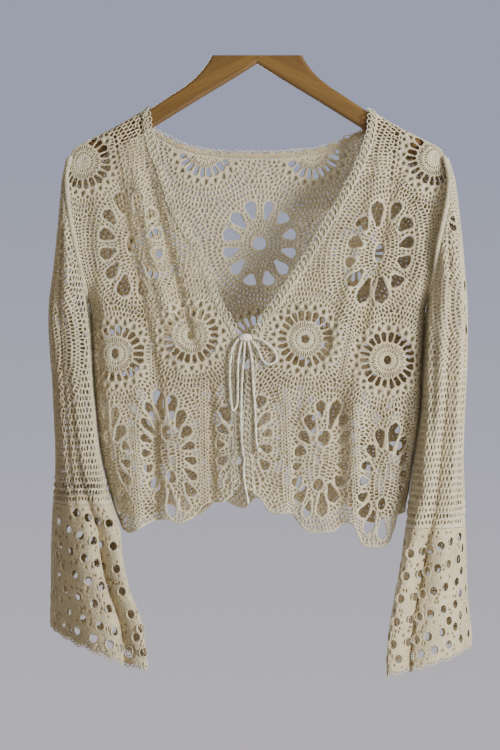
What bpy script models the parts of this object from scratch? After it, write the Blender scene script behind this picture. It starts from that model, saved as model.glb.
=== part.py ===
"""Cropped crochet cardigan with a tie front and bell cuffs, hung on a plain wooden hanger.

Metres, +Z up, the wearer's front towards -Y. The origin is the middle of the hanger's flat crown,
where its hook is fixed. Tables and sizes are in millimetres, and MM turns them into metres.
Every cloth piece is a flat outline, cut out of its own cloth coordinates (across, height), with
its lace gaps, and then laid on the surface that the hung cloth takes.
"""

import bpy
import bmesh
import numpy as np
from mathutils.geometry import delaunay_2d_cdt

MM = 0.001

# Cloth
WALL = 1.8  # thickness of the crochet
SEAM = 0.3  # gap between two sewn pieces
SIDE_GAP = WALL + 0.7  # between the middles of a sleeve's wall and the side of the body
GRID = 30.0  # spacing of the points inside a panel
BORDER = 6.0  # width of the shell-stitch border
SCALLOP_PITCH = 14.0
SCALLOP_DEPTH = 1.6
QUARTER = np.pi / 2
SHOULDER_ROWS = (2.5, 5.5, 9.0, 14.0)  # rows of points down from the shoulder seam
SIDE_ROWS = (3.0, 10.0, 20.0, 33.0)  # and in from the side
ROLL_SPACING = {"shoulder": 13.0, "side": 24.0}
EDGE_STEPS = (0.0, 0.1, 0.2, 0.32, 0.48, 0.7)  # shares of the way to an edge's second point
GUIDE_REACH = 17.0  # points of a row closer than this are joined by an edge
SEAM_ROOM = 1.5  # an edge's second point is at least this far below the shoulder seam
GUIDE_ROOM = 1.2  # least space from such a point to an edge or a gap
GRID_ROW = 0.866  # height of a row of staggered points, as a share of their spacing
GRID_ROOM = {"edge": 0.3, "guide": 0.4}  # as shares of the spacing too
NORMAL_STEP = 0.4  # half of the step over which the cloth's slope is measured
SLEEVE_STEP = {"long": 30.0, "seam": 18.0, "cuff": 11.0}  # spacing along a sleeve's edges

# Hanger
HANGER_THICK = 10.0
HANGER_ROUND = 3.3  # how far the arms' long edges are rounded
ARM_END = 211.0  # from the middle to the tip of an arm
HANGER_UNDER = 2.7  # from the middle of the cloth down to the arm's top
HANGER_STEPS = 3
# Half of its outline: the neck from the crown down, the places along the arm under the cloth, the
# tip as height below the arm there, and the underside back to the middle
HANGER_NECK = {
    "x": (52.0, 56.0, 63.0, 72.0, 84.0, 104.0),
    "z": (0.0, -7.5, -17.0, -26.5, -36.0, -49.0),
}
HANGER_ARM = (127.0, 146.0, 165.0, 182.0, 198.0)
HANGER_TIP = {
    "x": (205.0, ARM_END, ARM_END - 1.0, 203.0),
    "below": (0.6, 10.0, 20.0, 25.0),
}
HANGER_FOOT = {
    "x": (165.0, 121.0, 67.0, 23.0, 0.0),
    "z": (-108.0, -83.5, -50.0, -23.5, -9.0),
}

# How the cloth rolls over the arms and round the sides
SHOULDER_ROLL = 9.0
SHOULDER_LEAN = 1.15  # the slope of the arms makes the roll this much taller
SIDE_ROLL = 26.0
ROLL_SPARE = QUARTER - 1  # cloth that a quarter turn takes up, for each unit of its radius
ROLL_SETTLE = 120.0  # the lean of the shoulder is made up over this height
BODY_GROW = 60.0  # the body reaches its full depth this far below its shoulder
SIDE_TOP = -121.0  # top of the side edges, and the rows of points on both sides of them
SHOULDER_SPAN = (112.0, 226.0)
SIDE_SPAN = (-560.0, -124.0)
TIP_CUT = 3.0  # the shoulder seam ends this far before the side edge
HEM_ROOM = 3.0  # least space between the hem's first point and the front edge
HEM_TO_SIDE = 8.0  # height of the side edge's foot above the hem's last point

# Top of the cloth along an arm
SHOULDER = {
    "x": (110.0, 126.0, 165.0, 200.0, 211.0, 222.0),
    "z": (-52.0, -61.0, -83.5, -101.0, -107.5, -117.0),
}

# Half of the body's depth at each height
BODY_DEPTH = {
    "z": (-570.0, -450.0, -330.0, -220.0, -150.0, -100.0, -60.0),
    "half": (23.0, 25.0, 28.0, 27.0, 21.0, 13.0, 8.5),
}
BODY_LENS = 0.22  # how much flatter the body is at its sides than in its middle

# One row for each height of a sleeve: its outer and inner sides, half of its depth, how far its
# long axis is turned, and the angle round it where the armhole seam meets it
SLEEVE = {
    "left": {
        "z": (-705, -646, -608, -566, -545, -512, -478, -391, -284, -240, -212, -167, -142, -117),
        "outer": (243, 240.5, 239, 238, 237, 234.5, 232, 234, 238, 232.5, 229.5, 225.5, 223, 218.5),
        "inner": (126, 133, 147, 155, 157, 167, 176, 187, 194.5, 203, 209, 216.5, 218.5, 215.5),
        "depth": (58, 56, 54, 52, 50, 48, 47, 48, 46, 42, 39, 30, 21, 7),
        "turn": (42, 40, 36, 30, 26, 18, 12, 6, 0, 0, 0, 0, 0, 0),
    },
    "right": {
        "z": (
            -715, -661, -620, -585, -545, -505, -457, -421, -346, -281, -254, -215, -194, -167,
            -144, -117,
        ),
        "outer": (
            254, 249, 244, 242, 240.5, 239, 237, 238, 241, 240.5, 238.5, 235.5, 233, 230, 227,
            219.5,
        ),
        "inner": (147, 150, 157, 164, 170, 175, 182, 187.5, 192, 197, 202, 207.5, 212, 217.5, 220, 216),
        "depth": (57, 55, 52, 50, 48, 47, 47, 47, 48, 46, 44, 39, 35, 30, 21, 7),
        "turn": (42, 38, 34, 28, 22, 14, 8, 6, 3, 0, 0, 0, 0, 0, 0, 0),
    },
}
SLEEVE_RADIUS = 45.0  # turns an angle round a sleeve into cloth coordinates
ARMPIT = -290.0
SLEEVE_TOP = -118.0
SLEEVE_DROP = 0.5  # the sleeve's edge lies this far below the armhole's
ARM_SEAM = {
    "z": (ARMPIT, -270.0, -235.0, -190.0, -150.0, SLEEVE_TOP),
    "angle": (180.0, 157.0, 134.0, 116.0, 104.0, 97.0),
}
CUFF_SEAM = {"left": -514.0, "right": -541.0}
# Lowest edge of a cuff: its middle height, how far it dips, and towards which angle
CUFF_EDGE = {
    "left": {"z": -672.0, "dip": 20.0, "angle": 128.0},
    "right": {"z": -687.0, "dip": 13.0, "angle": 128.0},
}
CUFF_SCALLOPS = 9
CUFF_SCALLOP_DEPTH = 3.0
CUFF_POINTS = 37  # along the lower edge of half a cuff
CUFF_WIDENS = 1.25  # the cuff's lower edge is this much longer than its cloth coordinates

# Long folds of the sleeves: angle round the sleeve, half width, depth, and the heights they span
SLEEVE_FOLDS = {
    "left": (
        {"angle": 88, "width": 26, "depth": 11, "top": -240, "low": -560},
        {"angle": 92, "width": 34, "depth": 17, "top": -520, "low": -760},
        {"angle": -80, "width": 30, "depth": 12, "top": -230, "low": -740},
        {"angle": -140, "width": 18, "depth": 6, "top": -330, "low": -620},
        {"angle": 38, "width": 16, "depth": 4, "top": -300, "low": -520},
    ),
    "right": (
        {"angle": 78, "width": 26, "depth": 10, "top": -240, "low": -560},
        {"angle": 84, "width": 34, "depth": 18, "top": -520, "low": -770},
        {"angle": -84, "width": 30, "depth": 12, "top": -230, "low": -750},
        {"angle": -135, "width": 18, "depth": 6, "top": -330, "low": -620},
        {"angle": 128, "width": 15, "depth": 5, "top": -300, "low": -520},
    ),
}

SLEEVE_FADE = {"top": 0.25, "foot": 0.12}  # shares of a fold's length over which it grows and ends
FOLD_NARROWS = 0.55  # how much a sleeve's fold narrows it, as a share of how much it flattens it

# Soft folds of the body: a place at the top and at the foot, half width, and how far out
BODY_FOLDS = {
    "front": (
        {"x_top": -120, "z_top": -110, "x_low": -66, "z_low": -300, "width": 16, "out": 3.0},
        {"x_top": 124, "z_top": -110, "x_low": 60, "z_low": -300, "width": 16, "out": 3.0},
        {"x_top": -168, "z_top": -190, "x_low": -142, "z_low": -540, "width": 13, "out": 3.5},
        {"x_top": 172, "z_top": -190, "x_low": 118, "z_low": -540, "width": 14, "out": -3.5},
        {"x_top": -70, "z_top": -330, "x_low": -60, "z_low": -540, "width": 13, "out": -2.6},
        {"x_top": 96, "z_top": -360, "x_low": 100, "z_low": -570, "width": 12, "out": -3.0},
        {"x_top": -118, "z_top": -380, "x_low": -125, "z_low": -560, "width": 12, "out": -2.2},
        {"x_top": 40, "z_top": -350, "x_low": 34, "z_low": -540, "width": 12, "out": 2.4},
    ),
    "back": (
        {"x_top": -110, "z_top": -130, "x_low": -80, "z_low": -540, "width": 18, "out": 3.0},
        {"x_top": 112, "z_top": -130, "x_low": 86, "z_low": -540, "width": 18, "out": 3.2},
        {"x_top": 6, "z_top": -260, "x_low": -4, "z_low": -560, "width": 16, "out": -2.8},
        {"x_top": -170, "z_top": -260, "x_low": -150, "z_low": -560, "width": 12, "out": -2.5},
        {"x_top": 174, "z_top": -260, "x_low": 158, "z_low": -560, "width": 12, "out": -2.5},
    ),
}

BODY_FADE = 0.3  # share of a fold's length over which it grows and ends
BODY_FOLD_END = 1.25  # and it runs out this far along its length

# Front edges from the shoulder down the V, the tie and the centre opening to the hem
FRONT_EDGE = {
    "left": {
        "x": (
            -125.0, -121.9, -104.7, -89.5, -69.0, -41.4, -21.5, -20.5, -19.0, -18.0, -18.5,
            -23.0, -21.0,
        ),
        "z": (
            -60.0, -84.0, -140.0, -184.0, -216.0, -284.0, -322.0, -335.0, -385.0, -438.0, -452.0,
            -466.0, -497.0,
        ),
    },
    "right": {
        "x": (
            129.0, 128.0, 118.5, 108.0, 82.8, 63.3, 44.3, 23.0, 1.7, -4.5, -8.0, -11.0, -15.5,
            -15.5, -13.0, -11.5,
        ),
        "z": (
            -62.0, -82.0, -114.0, -139.0, -184.0, -217.0, -247.0, -277.0, -307.0, -322.0, -345.0,
            -385.0, -432.0, -452.0, -470.0, -499.0,
        ),
    },
}

# Scalloped hem from the front edge to the side
HEM = {
    "left": {
        "x": (-21.0, -29.0, -38.0, -50.0, -58.5, -68.0, -78.0, -90.0, -102.0, -117.0, -132.0, -145.0),
        "z": (
            -498.0, -505.0, -511.5, -512.0, -514.0, -525.0, -533.0, -536.0, -532.0, -533.5,
            -541.0, -547.0,
        ),
    },
    "right": {
        "x": (
            -11.0, 2.0, 14.0, 26.0, 38.0, 47.0, 56.0, 74.0, 91.0, 97.0, 108.0, 115.0, 122.0,
            134.0, 147.0, 157.0, 166.0,
        ),
        "z": (
            -500.0, -506.0, -523.0, -525.5, -524.0, -535.0, -545.0, -546.5, -544.0, -537.0,
            -537.0, -551.0, -562.0, -564.0, -562.0, -544.0, -520.0,
        ),
    },
    "back": {
        "x": (
            -150.0, -132.0, -118.0, -102.0, -86.0, -72.0, -58.0, -42.0, -28.0, -14.0, 0.0, 14.0,
            28.0, 42.0, 58.0, 72.0, 86.0, 102.0, 118.0, 132.0, 150.0,
        ),
        "z": (
            -529.0, -536.0, -528.0, -517.0, -526.0, -532.0, -523.0, -509.0, -518.0, -521.0,
            -509.0, -521.0, -519.0, -510.0, -523.0, -534.0, -527.0, -517.0, -529.0, -538.0,
            -532.0,
        ),
    },
}

# Back neckline from one shoulder to the other
BACK_NECK = {
    "x": (-125.0, -119.0, -107.0, -92.0, -69.0, -37.0, 0.0, 37.0, 69.0, 92.0, 107.0, 121.0, 129.0),
    "z": (
        -60.0, -83.0, -89.0, -97.0, -104.5, -108.0, -109.0, -108.0, -104.5, -97.0, -90.0, -83.0,
        -62.0,
    ),
}

# Oval flowers: centre, half width and height of the ring of petal gaps, gaps round it, where each
# gap starts as a share of the way out, how the oval leans, and the eyes (distance above the
# centre, half width, half height)
FLOWERS = {
    "front_left": (
        {"x": -144, "z": -218, "rx": 36, "rz": 64, "gaps": 12,
         "start": 0.58, "lean": -0.05, "eyes": ((0, 5, 10),)},
        {"x": -101, "z": -456, "rx": 31, "rz": 74, "gaps": 17,
         "start": 0.60, "lean": -0.12, "eyes": ((24, 5, 9), (-27, 5, 7))},
        {"x": -171, "z": -458, "rx": 26, "rz": 70, "gaps": 14,
         "start": 0.56, "lean": -0.10, "eyes": ((20, 5, 8),)},
        {"x": -16, "z": -446, "rx": 31, "rz": 70, "gaps": 15,
         "start": 0.58, "lean": -0.02, "eyes": ()},
    ),
    "front_right": (
        {"x": 139, "z": -227, "rx": 38, "rz": 62, "gaps": 12,
         "start": 0.58, "lean": 0.17, "eyes": ((0, 5, 10),)},
        {"x": 73, "z": -462, "rx": 32, "rz": 70, "gaps": 16,
         "start": 0.60, "lean": 0.13, "eyes": ((23, 7, 9), (-30, 6, 7))},
        {"x": 145, "z": -488, "rx": 29, "rz": 68, "gaps": 15,
         "start": 0.58, "lean": 0.12, "eyes": ((24, 5, 9), (-26, 4, 7))},
        {"x": -14, "z": -442, "rx": 31, "rz": 68, "gaps": 15,
         "start": 0.58, "lean": 0.02, "eyes": ()},
    ),
    "back": (
        {"x": 3, "z": -214, "rx": 44, "rz": 51, "gaps": 12,
         "start": 0.58, "lean": 0.0, "eyes": ((0, 8, 8),)},
        {"x": -122, "z": -440, "rx": 31, "rz": 64, "gaps": 15,
         "start": 0.60, "lean": 0.0, "eyes": ((22, 6, 9),)},
        {"x": -46, "z": -440, "rx": 31, "rz": 64, "gaps": 15,
         "start": 0.60, "lean": 0.0, "eyes": ((22, 6, 9),)},
        {"x": 46, "z": -440, "rx": 31, "rz": 64, "gaps": 15,
         "start": 0.60, "lean": 0.0, "eyes": ((22, 6, 9),)},
        {"x": 138, "z": -440, "rx": 31, "rz": 64, "gaps": 15,
         "start": 0.60, "lean": 0.0, "eyes": ((22, 6, 9),)},
    ),
}
GAP_SHARE = 0.30  # half width of a petal gap as a share of the space between two
# A petal gap's outline: share of the way out, and share of its half width
PETAL_GAP = ((0.0, 0.35), (0.6, 1.0), (1.0, 0.55), (1.0, -0.55), (0.6, -1.0), (0.0, -0.35))
EYE_SIDES = 6

# Round wheels, whose middle hole is cut: centre and the hole's half width and height
WHEELS = {
    "front_left": ((-161.6, -342.7, 4.2, 6.0), (-75.6, -321.7, 4.0, 5.6)),
    "front_right": ((54.3, -326.0, 5.0, 5.0), (148.4, -350.0, 4.2, 5.2)),
    "back": ((-150.0, -338.0, 4.5, 5.0), (-75.0, -332.0, 4.5, 5.0), (0.0, -330.0, 4.5, 5.0),
             (75.0, -332.0, 4.5, 5.0), (150.0, -338.0, 4.5, 5.0),
             (-114.0, -226.0, 4.5, 5.0), (116.0, -226.0, 4.5, 5.0)),
}

# Eyelets of the cuffs, cut in the rows next to the edge
EYELET = {
    "half_width": 4.4,
    "half_height": 4.9,
    "pitch": 19.0,
    "row": 14.0,
    "rows": 2,
    "above_edge": 15.0,
}

CLEAR = {"edge": 3.2, "gap": 2.2}  # cloth left between a gap and an edge, and between two gaps

# Ties
CORD = 2.6
CORD_LIFT = 0.5  # air between a cord and the cloth that it hangs before
TOUCH = 0.35  # air between a cord's end and the knot that it goes into
KNOT = {"x": -13.0, "z": -324.5, "wide": 8.0, "tall": 4.6, "deep": 3.8, "proud": 3.0}
# Middle line of each cord: the angles on the bow knot where it starts and ends, and between them
# its place across, its height and how far it stands before the cloth
CORDS = {
    "tie_loop_left": {
        "from": 196, "to": 236,
        "x": (-26.4, -29.8, -31.0, -30.8, -29.4, -26.4, -23.2, -22.2, -22.0, -21.0),
        "z": (-333.0, -346.0, -362.0, -380.0, -398.0, -408.5, -401.0, -385.0, -366.0, -346.0),
        "lift": (1.6, 1.2, 0.8, 0.6, 0.6, 0.6, 0.6, 0.6, 0.8, 1.0),
    },
    "tie_loop_right": {
        "from": 358, "to": 320,
        "x": (3.5, 11.0, 18.0, 22.3, 21.0, 15.2, 8.6, 4.2, 0.2),
        "z": (-326.5, -331.5, -337.5, -344.5, -351.0, -354.6, -353.0, -346.0, -336.5),
        "lift": (1.2, 1.4, 1.2, 1.0, 0.8, 0.8, 1.0, 1.4, 1.6),
    },
    "tie_tail_left": {
        "from": 263, "to": None,
        "x": (-15.0, -17.0, -18.0, -18.2, -17.6, -16.6, -14.6, -15.4, -14.6, -12.2, -9.8),
        "z": (-345.0, -370.0, -395.0, -420.0, -440.0, -452.0, -463.0, -474.0, -486.0, -500.0, -513.0),
        "lift": (0.8, 0.8, 1.0, 1.0, 1.0, 1.0, 0.8, 0.8, 0.8, 0.8, 0.6),
    },
    "tie_tail_right": {
        "from": 291, "to": None,
        "x": (-7.6, -6.0, -5.2, -4.6, -3.2, -2.0, -1.4, -0.6, 1.0),
        "z": (-340.0, -352.0, -364.0, -378.0, -396.0, -416.0, -432.0, -444.0, -449.0),
        "lift": (0.6, 0.4, 0.4, 0.4, 0.4, 0.4, 0.6, 1.4, 1.8),
    },
}
END_KNOT = 2.8  # radius of the knot on the right tail's end
CORD_POINTS = 23


def curve(at, where, value):
    """Smooth curve through a table's rows."""
    where = np.asarray(where, float)
    value = np.asarray(value, float)
    slope = np.gradient(value, where)
    at = np.clip(at, where[0], where[-1])
    row = np.clip(np.searchsorted(where, at) - 1, 0, len(where) - 2)
    step = where[row + 1] - where[row]
    t = (at - where[row]) / step
    rise = value[row + 1] - value[row]
    start = slope[row] * step
    end = slope[row + 1] * step
    return value[row] + t * start + t * t * (3 * rise - 2 * start - end) + t**3 * (start + end - 2 * rise)


def smooth(share):
    share = np.clip(share, 0, 1)
    return share * share * (3 - 2 * share)


def shoulder_top(x):
    return curve(np.abs(x), SHOULDER["x"], SHOULDER["z"])


def seam_angle(z):
    """Angle round a sleeve, in radians, where it ends at this height."""
    return np.radians(curve(z, ARM_SEAM["z"], ARM_SEAM["angle"]))


def sleeve_row(side, z):
    """Outer and inner side, half depth and turn of a sleeve at a height, all from its table."""
    rows = SLEEVE[side]
    return [curve(z, rows["z"], rows[name]) for name in ("outer", "inner", "depth", "turn")]


def body_side(side, z):
    """How far out the body's side is at a height, just inside the sleeve that hangs beside it."""
    return sleeve_row(side, z)[1] - SIDE_GAP


def armhole_depth(side, z):
    """Half of the armhole's opening at a height, and only half a seam below the armpit."""
    depth = sleeve_row(side, z)[2] * np.sin(seam_angle(z))
    return np.where(z > ARMPIT, np.maximum(depth, 0), 0) + SEAM / 2


def fold_height(folds, x, z):
    """How far the body's soft folds lift the cloth at a point."""
    lift = np.zeros_like(x)
    for fold in folds:
        share = (fold["z_top"] - z) / (fold["z_top"] - fold["z_low"])
        middle = fold["x_top"] + (fold["x_low"] - fold["x_top"]) * share
        fade = smooth(share / BODY_FADE) * smooth((BODY_FOLD_END - share) / BODY_FADE)
        lift += fold["out"] * fade * np.exp(-(((x - middle) / fold["width"]) ** 2))
    return lift


def body_surface(points, face):
    """Cloth coordinates of the body to places in space: face is -1 for the front, 1 for the back."""
    across, height = points[:, 0], points[:, 1]
    hand = np.where(across < 0, -1.0, 1.0)
    level = np.minimum(height, shoulder_top(across))
    side = np.where(across < 0, body_side("left", level), body_side("right", level))
    armhole = np.where(across < 0, armhole_depth("left", level), armhole_depth("right", level))

    along = side + ROLL_SPARE * SIDE_ROLL - np.abs(across)
    turn = np.minimum(along / SIDE_ROLL, QUARTER)
    x = np.where(along < QUARTER * SIDE_ROLL, side - SIDE_ROLL * (1 - np.cos(turn)), np.abs(across))
    side_share = np.sin(turn)

    top = shoulder_top(x)
    down = top + ROLL_SPARE * SHOULDER_ROLL - height
    turn = np.minimum(down / SHOULDER_ROLL, QUARTER)
    rolled = top - SHOULDER_ROLL * SHOULDER_LEAN * (1 - np.cos(turn))
    settled = height - (SHOULDER_LEAN - 1) * SHOULDER_ROLL * np.clip(1 - down / ROLL_SETTLE, 0, 1)
    z = np.where(down < QUARTER * SHOULDER_ROLL, rolled, np.minimum(settled, rolled))

    lens = 1 - BODY_LENS * (x / side) ** 2
    half = curve(z, BODY_DEPTH["z"], BODY_DEPTH["half"]) * lens
    grow = smooth((top - z) / BODY_GROW)
    folds = BODY_FOLDS["front"] if face < 0 else BODY_FOLDS["back"]
    depth = SHOULDER_ROLL * np.sin(turn) + grow * (half - SHOULDER_ROLL + fold_height(folds, hand * x, z))
    armhole = np.minimum(armhole, SEAM / 2 + 3 * np.maximum(top - z, 0))
    y = armhole + (depth - armhole + SEAM / 2) * side_share
    return np.stack([hand * x, face * y, z], axis=1)


def sleeve_surface(points, side):
    """Cloth coordinates of a sleeve and its cuff to places in space."""
    hand = -1.0 if side == "left" else 1.0
    angle = points[:, 0] / SLEEVE_RADIUS
    z = points[:, 1]
    outer, inner, depth, turn = sleeve_row(side, z)
    end = np.cos(seam_angle(z))
    turn = np.radians(turn)
    middle = (outer * (-end) + inner) / (1 - end)
    reach = (outer - inner) / (1 - end)
    squeeze = np.ones_like(z)
    for fold in SLEEVE_FOLDS[side]:
        share = (fold["top"] - z) / (fold["top"] - fold["low"])
        fade = smooth(share / SLEEVE_FADE["top"]) * smooth((1 - share) / SLEEVE_FADE["foot"])
        away = (np.degrees(angle) - fold["angle"] + 180) % 360 - 180
        squeeze -= fold["depth"] / depth * fade * np.exp(-((away / fold["width"]) ** 2))
    narrowed = 1 - FOLD_NARROWS * (1 - squeeze)
    x = middle + reach * np.cos(angle + turn) * narrowed
    y = -depth * np.sin(angle) * squeeze
    return np.stack([hand * x, y, z], axis=1)


def offset_line(line, distance):
    """Each point of an open line moved to the left of its direction."""
    line = np.asarray(line, float)
    step = np.diff(line, axis=0)
    step /= np.linalg.norm(step, axis=1)[:, None]
    first = np.vstack([step[:1], step])
    last = np.vstack([step, step[-1:]])
    along = first + last
    along /= np.linalg.norm(along, axis=1)[:, None]
    share = 1 / np.maximum((along * first).sum(axis=1), 0.5)
    return line + distance * share[:, None] * np.stack([-along[:, 1], along[:, 0]], axis=1)


def resample(line, spacing):
    """Points about this far apart along a line, with its first and last kept."""
    line = np.asarray(line, float)
    run = np.concatenate([[0], np.cumsum(np.linalg.norm(np.diff(line, axis=0), axis=1))])
    at = np.linspace(0, run[-1], max(2, int(round(run[-1] / spacing)) + 1))
    return np.stack([np.interp(at, run, line[:, 0]), np.interp(at, run, line[:, 1])], axis=1)


def inside(points, outline):
    """Which points lie inside a closed outline."""
    x, y = points[:, 0], points[:, 1]
    found = np.zeros(len(points), bool)
    for (ax, ay), (bx, by) in zip(outline, np.roll(outline, -1, axis=0)):
        crosses = (ay > y) != (by > y)
        with np.errstate(divide="ignore", invalid="ignore"):
            edge = ax + (y - ay) * (bx - ax) / (by - ay)
        found ^= crosses & (x < edge)
    return found


def distance_to(points, outline):
    """Distance from each point to a closed outline."""
    nearest = np.full(len(points), np.inf)
    for a, b in zip(outline, np.roll(outline, -1, axis=0)):
        step = b - a
        t = np.clip(((points - a) @ step) / max(step @ step, 1e-9), 0, 1)
        nearest = np.minimum(nearest, np.linalg.norm(points - a - t[:, None] * step, axis=1))
    return nearest


def ring(x, z, half_width, half_height, sides):
    angles = 2 * np.pi * (np.arange(sides) + 0.5) / sides
    return np.stack([x + half_width * np.cos(angles), z + half_height * np.sin(angles)], axis=1)


def flower_gaps(flower):
    """The ring of petal gaps of one flower, narrow at the eye and wide outside, and its eyes."""
    count = flower["gaps"]
    fine = np.linspace(0, 2 * np.pi, 721)
    oval = np.stack([flower["rx"] * np.cos(fine), flower["rz"] * np.sin(fine)], axis=1)
    run = np.concatenate([[0], np.cumsum(np.linalg.norm(np.diff(oval, axis=0), axis=1))])
    middles = np.interp((np.arange(count) + 0.5) / count * run[-1], run, fine)
    half_run = GAP_SHARE * run[-1] / count
    gaps = []
    for middle in middles:
        tip = np.array([flower["rx"] * np.cos(middle), flower["rz"] * np.sin(middle)])
        outward = tip / np.linalg.norm(tip)
        across = np.array([-outward[1], outward[0]])
        start = tip * flower["start"]
        shape = [start + (tip - start) * out + across * half_run * wide for out, wide in PETAL_GAP]
        gaps.append(np.array(shape))
    for above, half_width, half_height in flower["eyes"]:
        gaps.append(ring(0, above, half_width, half_height, EYE_SIDES))
    for gap in gaps:
        gap[:, 0] += flower["x"] + flower["lean"] * gap[:, 1]
        gap[:, 1] += flower["z"]
    return gaps


def kept_gaps(gaps, outline):
    """The gaps that lie in the piece, clear of its edge and of each other."""
    kept = []
    for gap in gaps:
        if not inside(gap, outline).all() or distance_to(gap, outline).min() < CLEAR["edge"]:
            continue
        if any(distance_to(gap, other).min() < CLEAR["gap"] or inside(gap, other).any() for other in kept):
            continue
        kept.append(gap)
    return kept


def roll_rows():
    """Rows of points along the shoulders and sides, where the cloth turns sharply."""
    rows = []
    for side, hand in (("left", -1), ("right", 1)):
        x = np.arange(*SHOULDER_SPAN, ROLL_SPACING["shoulder"])
        rows += [np.stack([hand * x, top_edge(x) - down], axis=1) for down in SHOULDER_ROWS]
        heights = np.arange(*SIDE_SPAN, ROLL_SPACING["side"])
        edge = body_side(side, heights) + ROLL_SPARE * SIDE_ROLL
        rows += [np.stack([hand * (edge - along), heights], axis=1) for along in SIDE_ROWS]
    return rows


def clear_of(points, outline, gaps, room):
    """The points inside the piece that have this much room to its edge and to its gaps."""
    points = points[inside(points, outline)]
    points = points[distance_to(points, outline) > room]
    for gap in gaps:
        points = points[(distance_to(points, gap) > room) & ~inside(points, gap)]
    return points


def grid_points(outline, gaps, guides):
    """Staggered points inside the piece, clear of its edges and of its guides."""
    low, high = outline.min(axis=0), outline.max(axis=0)
    points = []
    for row, z in enumerate(np.arange(low[1] + GRID / 2, high[1], GRID * GRID_ROW)):
        start = low[0] + (row % 2) * GRID / 2
        points += [(x, z) for x in np.arange(start, high[0], GRID)]
    points = clear_of(np.array(points), outline, gaps, GRID * GRID_ROOM["edge"])
    for guide in guides:
        points = points[np.linalg.norm(points - guide, axis=1) > GRID * GRID_ROOM["guide"]]
    return points


def finish(name, mesh, material):
    mesh.materials.append(material)
    thing = bpy.data.objects.new(name, mesh)
    bpy.context.scene.collection.objects.link(thing)
    return thing


def wall(name, outline, gaps, surface, material, guides=()):
    """A closed cloth wall: the outline less its gaps, laid on a surface and given its thickness."""
    outline = np.asarray(outline, float)
    gaps = kept_gaps(gaps, outline)
    loops = [outline] + gaps
    rows = [clear_of(row, outline, gaps, GUIDE_ROOM) for row in guides]
    rows = [row for row in rows if len(row)]
    extra = grid_points(outline, gaps, np.vstack(rows) if rows else [])
    points = np.vstack(loops + rows + [extra])
    edges = []
    start = 0
    for loop in loops:
        edges += [(start + i, start + (i + 1) % len(loop)) for i in range(len(loop))]
        start += len(loop)
    for row in rows:
        near = np.linalg.norm(np.diff(row, axis=0), axis=1) < GUIDE_REACH
        edges += [(start + i, start + i + 1) for i in np.flatnonzero(near)]
        start += len(row)
    flat, _, faces, *_ = delaunay_2d_cdt([tuple(p) for p in points], edges, [], 0, 1e-6, True)
    flat = np.array([tuple(p) for p in flat])
    faces = np.array([tuple(f) for f in faces])
    middles = flat[faces].mean(axis=1)
    keep = inside(middles, outline)
    for gap in gaps:
        keep &= ~inside(middles, gap)
    faces = faces[keep]

    place = surface(flat)
    across = surface(flat + (NORMAL_STEP, 0)) - surface(flat - (NORMAL_STEP, 0))
    upward = surface(flat + (0, NORMAL_STEP)) - surface(flat - (0, NORMAL_STEP))
    normal = np.cross(across, upward)
    normal /= np.linalg.norm(normal, axis=1)[:, None]
    both = np.vstack([place + normal * WALL / 2, place - normal * WALL / 2]) * MM
    count = len(flat)

    ends = np.concatenate([faces[:, [0, 1]], faces[:, [1, 2]], faces[:, [2, 0]]])
    known = {(a, b) for a, b in ends}
    rim = [(a, b) for a, b in ends if (b, a) not in known]
    sides = [(a, a + count, b + count, b) for a, b in rim]
    polygons = [tuple(f) for f in faces] + [tuple(f[::-1] + count) for f in faces] + sides
    used = sorted({v for polygon in polygons for v in polygon})
    index = {old: new for new, old in enumerate(used)}
    mesh = bpy.data.meshes.new(name)
    mesh.from_pydata([tuple(both[v]) for v in used], [], [[index[v] for v in p] for p in polygons])
    shape = bmesh.new()
    shape.from_mesh(mesh)
    bmesh.ops.triangulate(shape, faces=shape.faces)
    bmesh.ops.recalc_face_normals(shape, faces=shape.faces)
    shape.to_mesh(mesh)
    shape.free()
    print(name, len(gaps), "gaps")
    return finish(name, mesh, material)


def top_edge(x):
    """Height of the shoulder seam in cloth coordinates."""
    return shoulder_top(x) + ROLL_SPARE * SHOULDER_ROLL


def to_seam(line):
    """A line cut off at the shoulder seam, where it starts."""
    start = (line[0, 0], top_edge(line[0, 0]))
    below = line[:, 1] < top_edge(line[:, 0]) - SEAM_ROOM
    return np.vstack([start, line[below]])


def over_shoulder(line):
    """An edge whose first point is moved up to the shoulder seam, with points where it rolls over."""
    start = np.array([line[0, 0], top_edge(line[0, 0])])
    steps = np.array(EDGE_STEPS)[:, None]
    return np.vstack([start + (line[1] - start) * steps, line[1:]])


def front_line(side):
    return over_shoulder(np.stack([FRONT_EDGE[side]["x"], FRONT_EDGE[side]["z"]], axis=1))


def neck_line():
    half = over_shoulder(np.stack([BACK_NECK["x"], BACK_NECK["z"]], axis=1))
    return over_shoulder(half[::-1])[::-1]


def side_line(side, low):
    """The body's side edge in cloth coordinates, from the shoulder's tip down to the hem."""
    hand = -1 if side == "left" else 1
    heights = np.concatenate([np.linspace(SIDE_TOP, ARMPIT, 9), np.linspace(ARMPIT, low, 9)[1:]])
    return np.stack([hand * (body_side(side, heights) + ROLL_SPARE * SIDE_ROLL), heights], axis=1)


def shoulder_line(side, start):
    """The shoulder seam in cloth coordinates, from the neck out to the tip."""
    hand = -1 if side == "left" else 1
    x = np.linspace(abs(start), body_side(side, SIDE_TOP) + ROLL_SPARE * SIDE_ROLL - TIP_CUT, 9)
    return np.stack([hand * x, top_edge(x)], axis=1)


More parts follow.
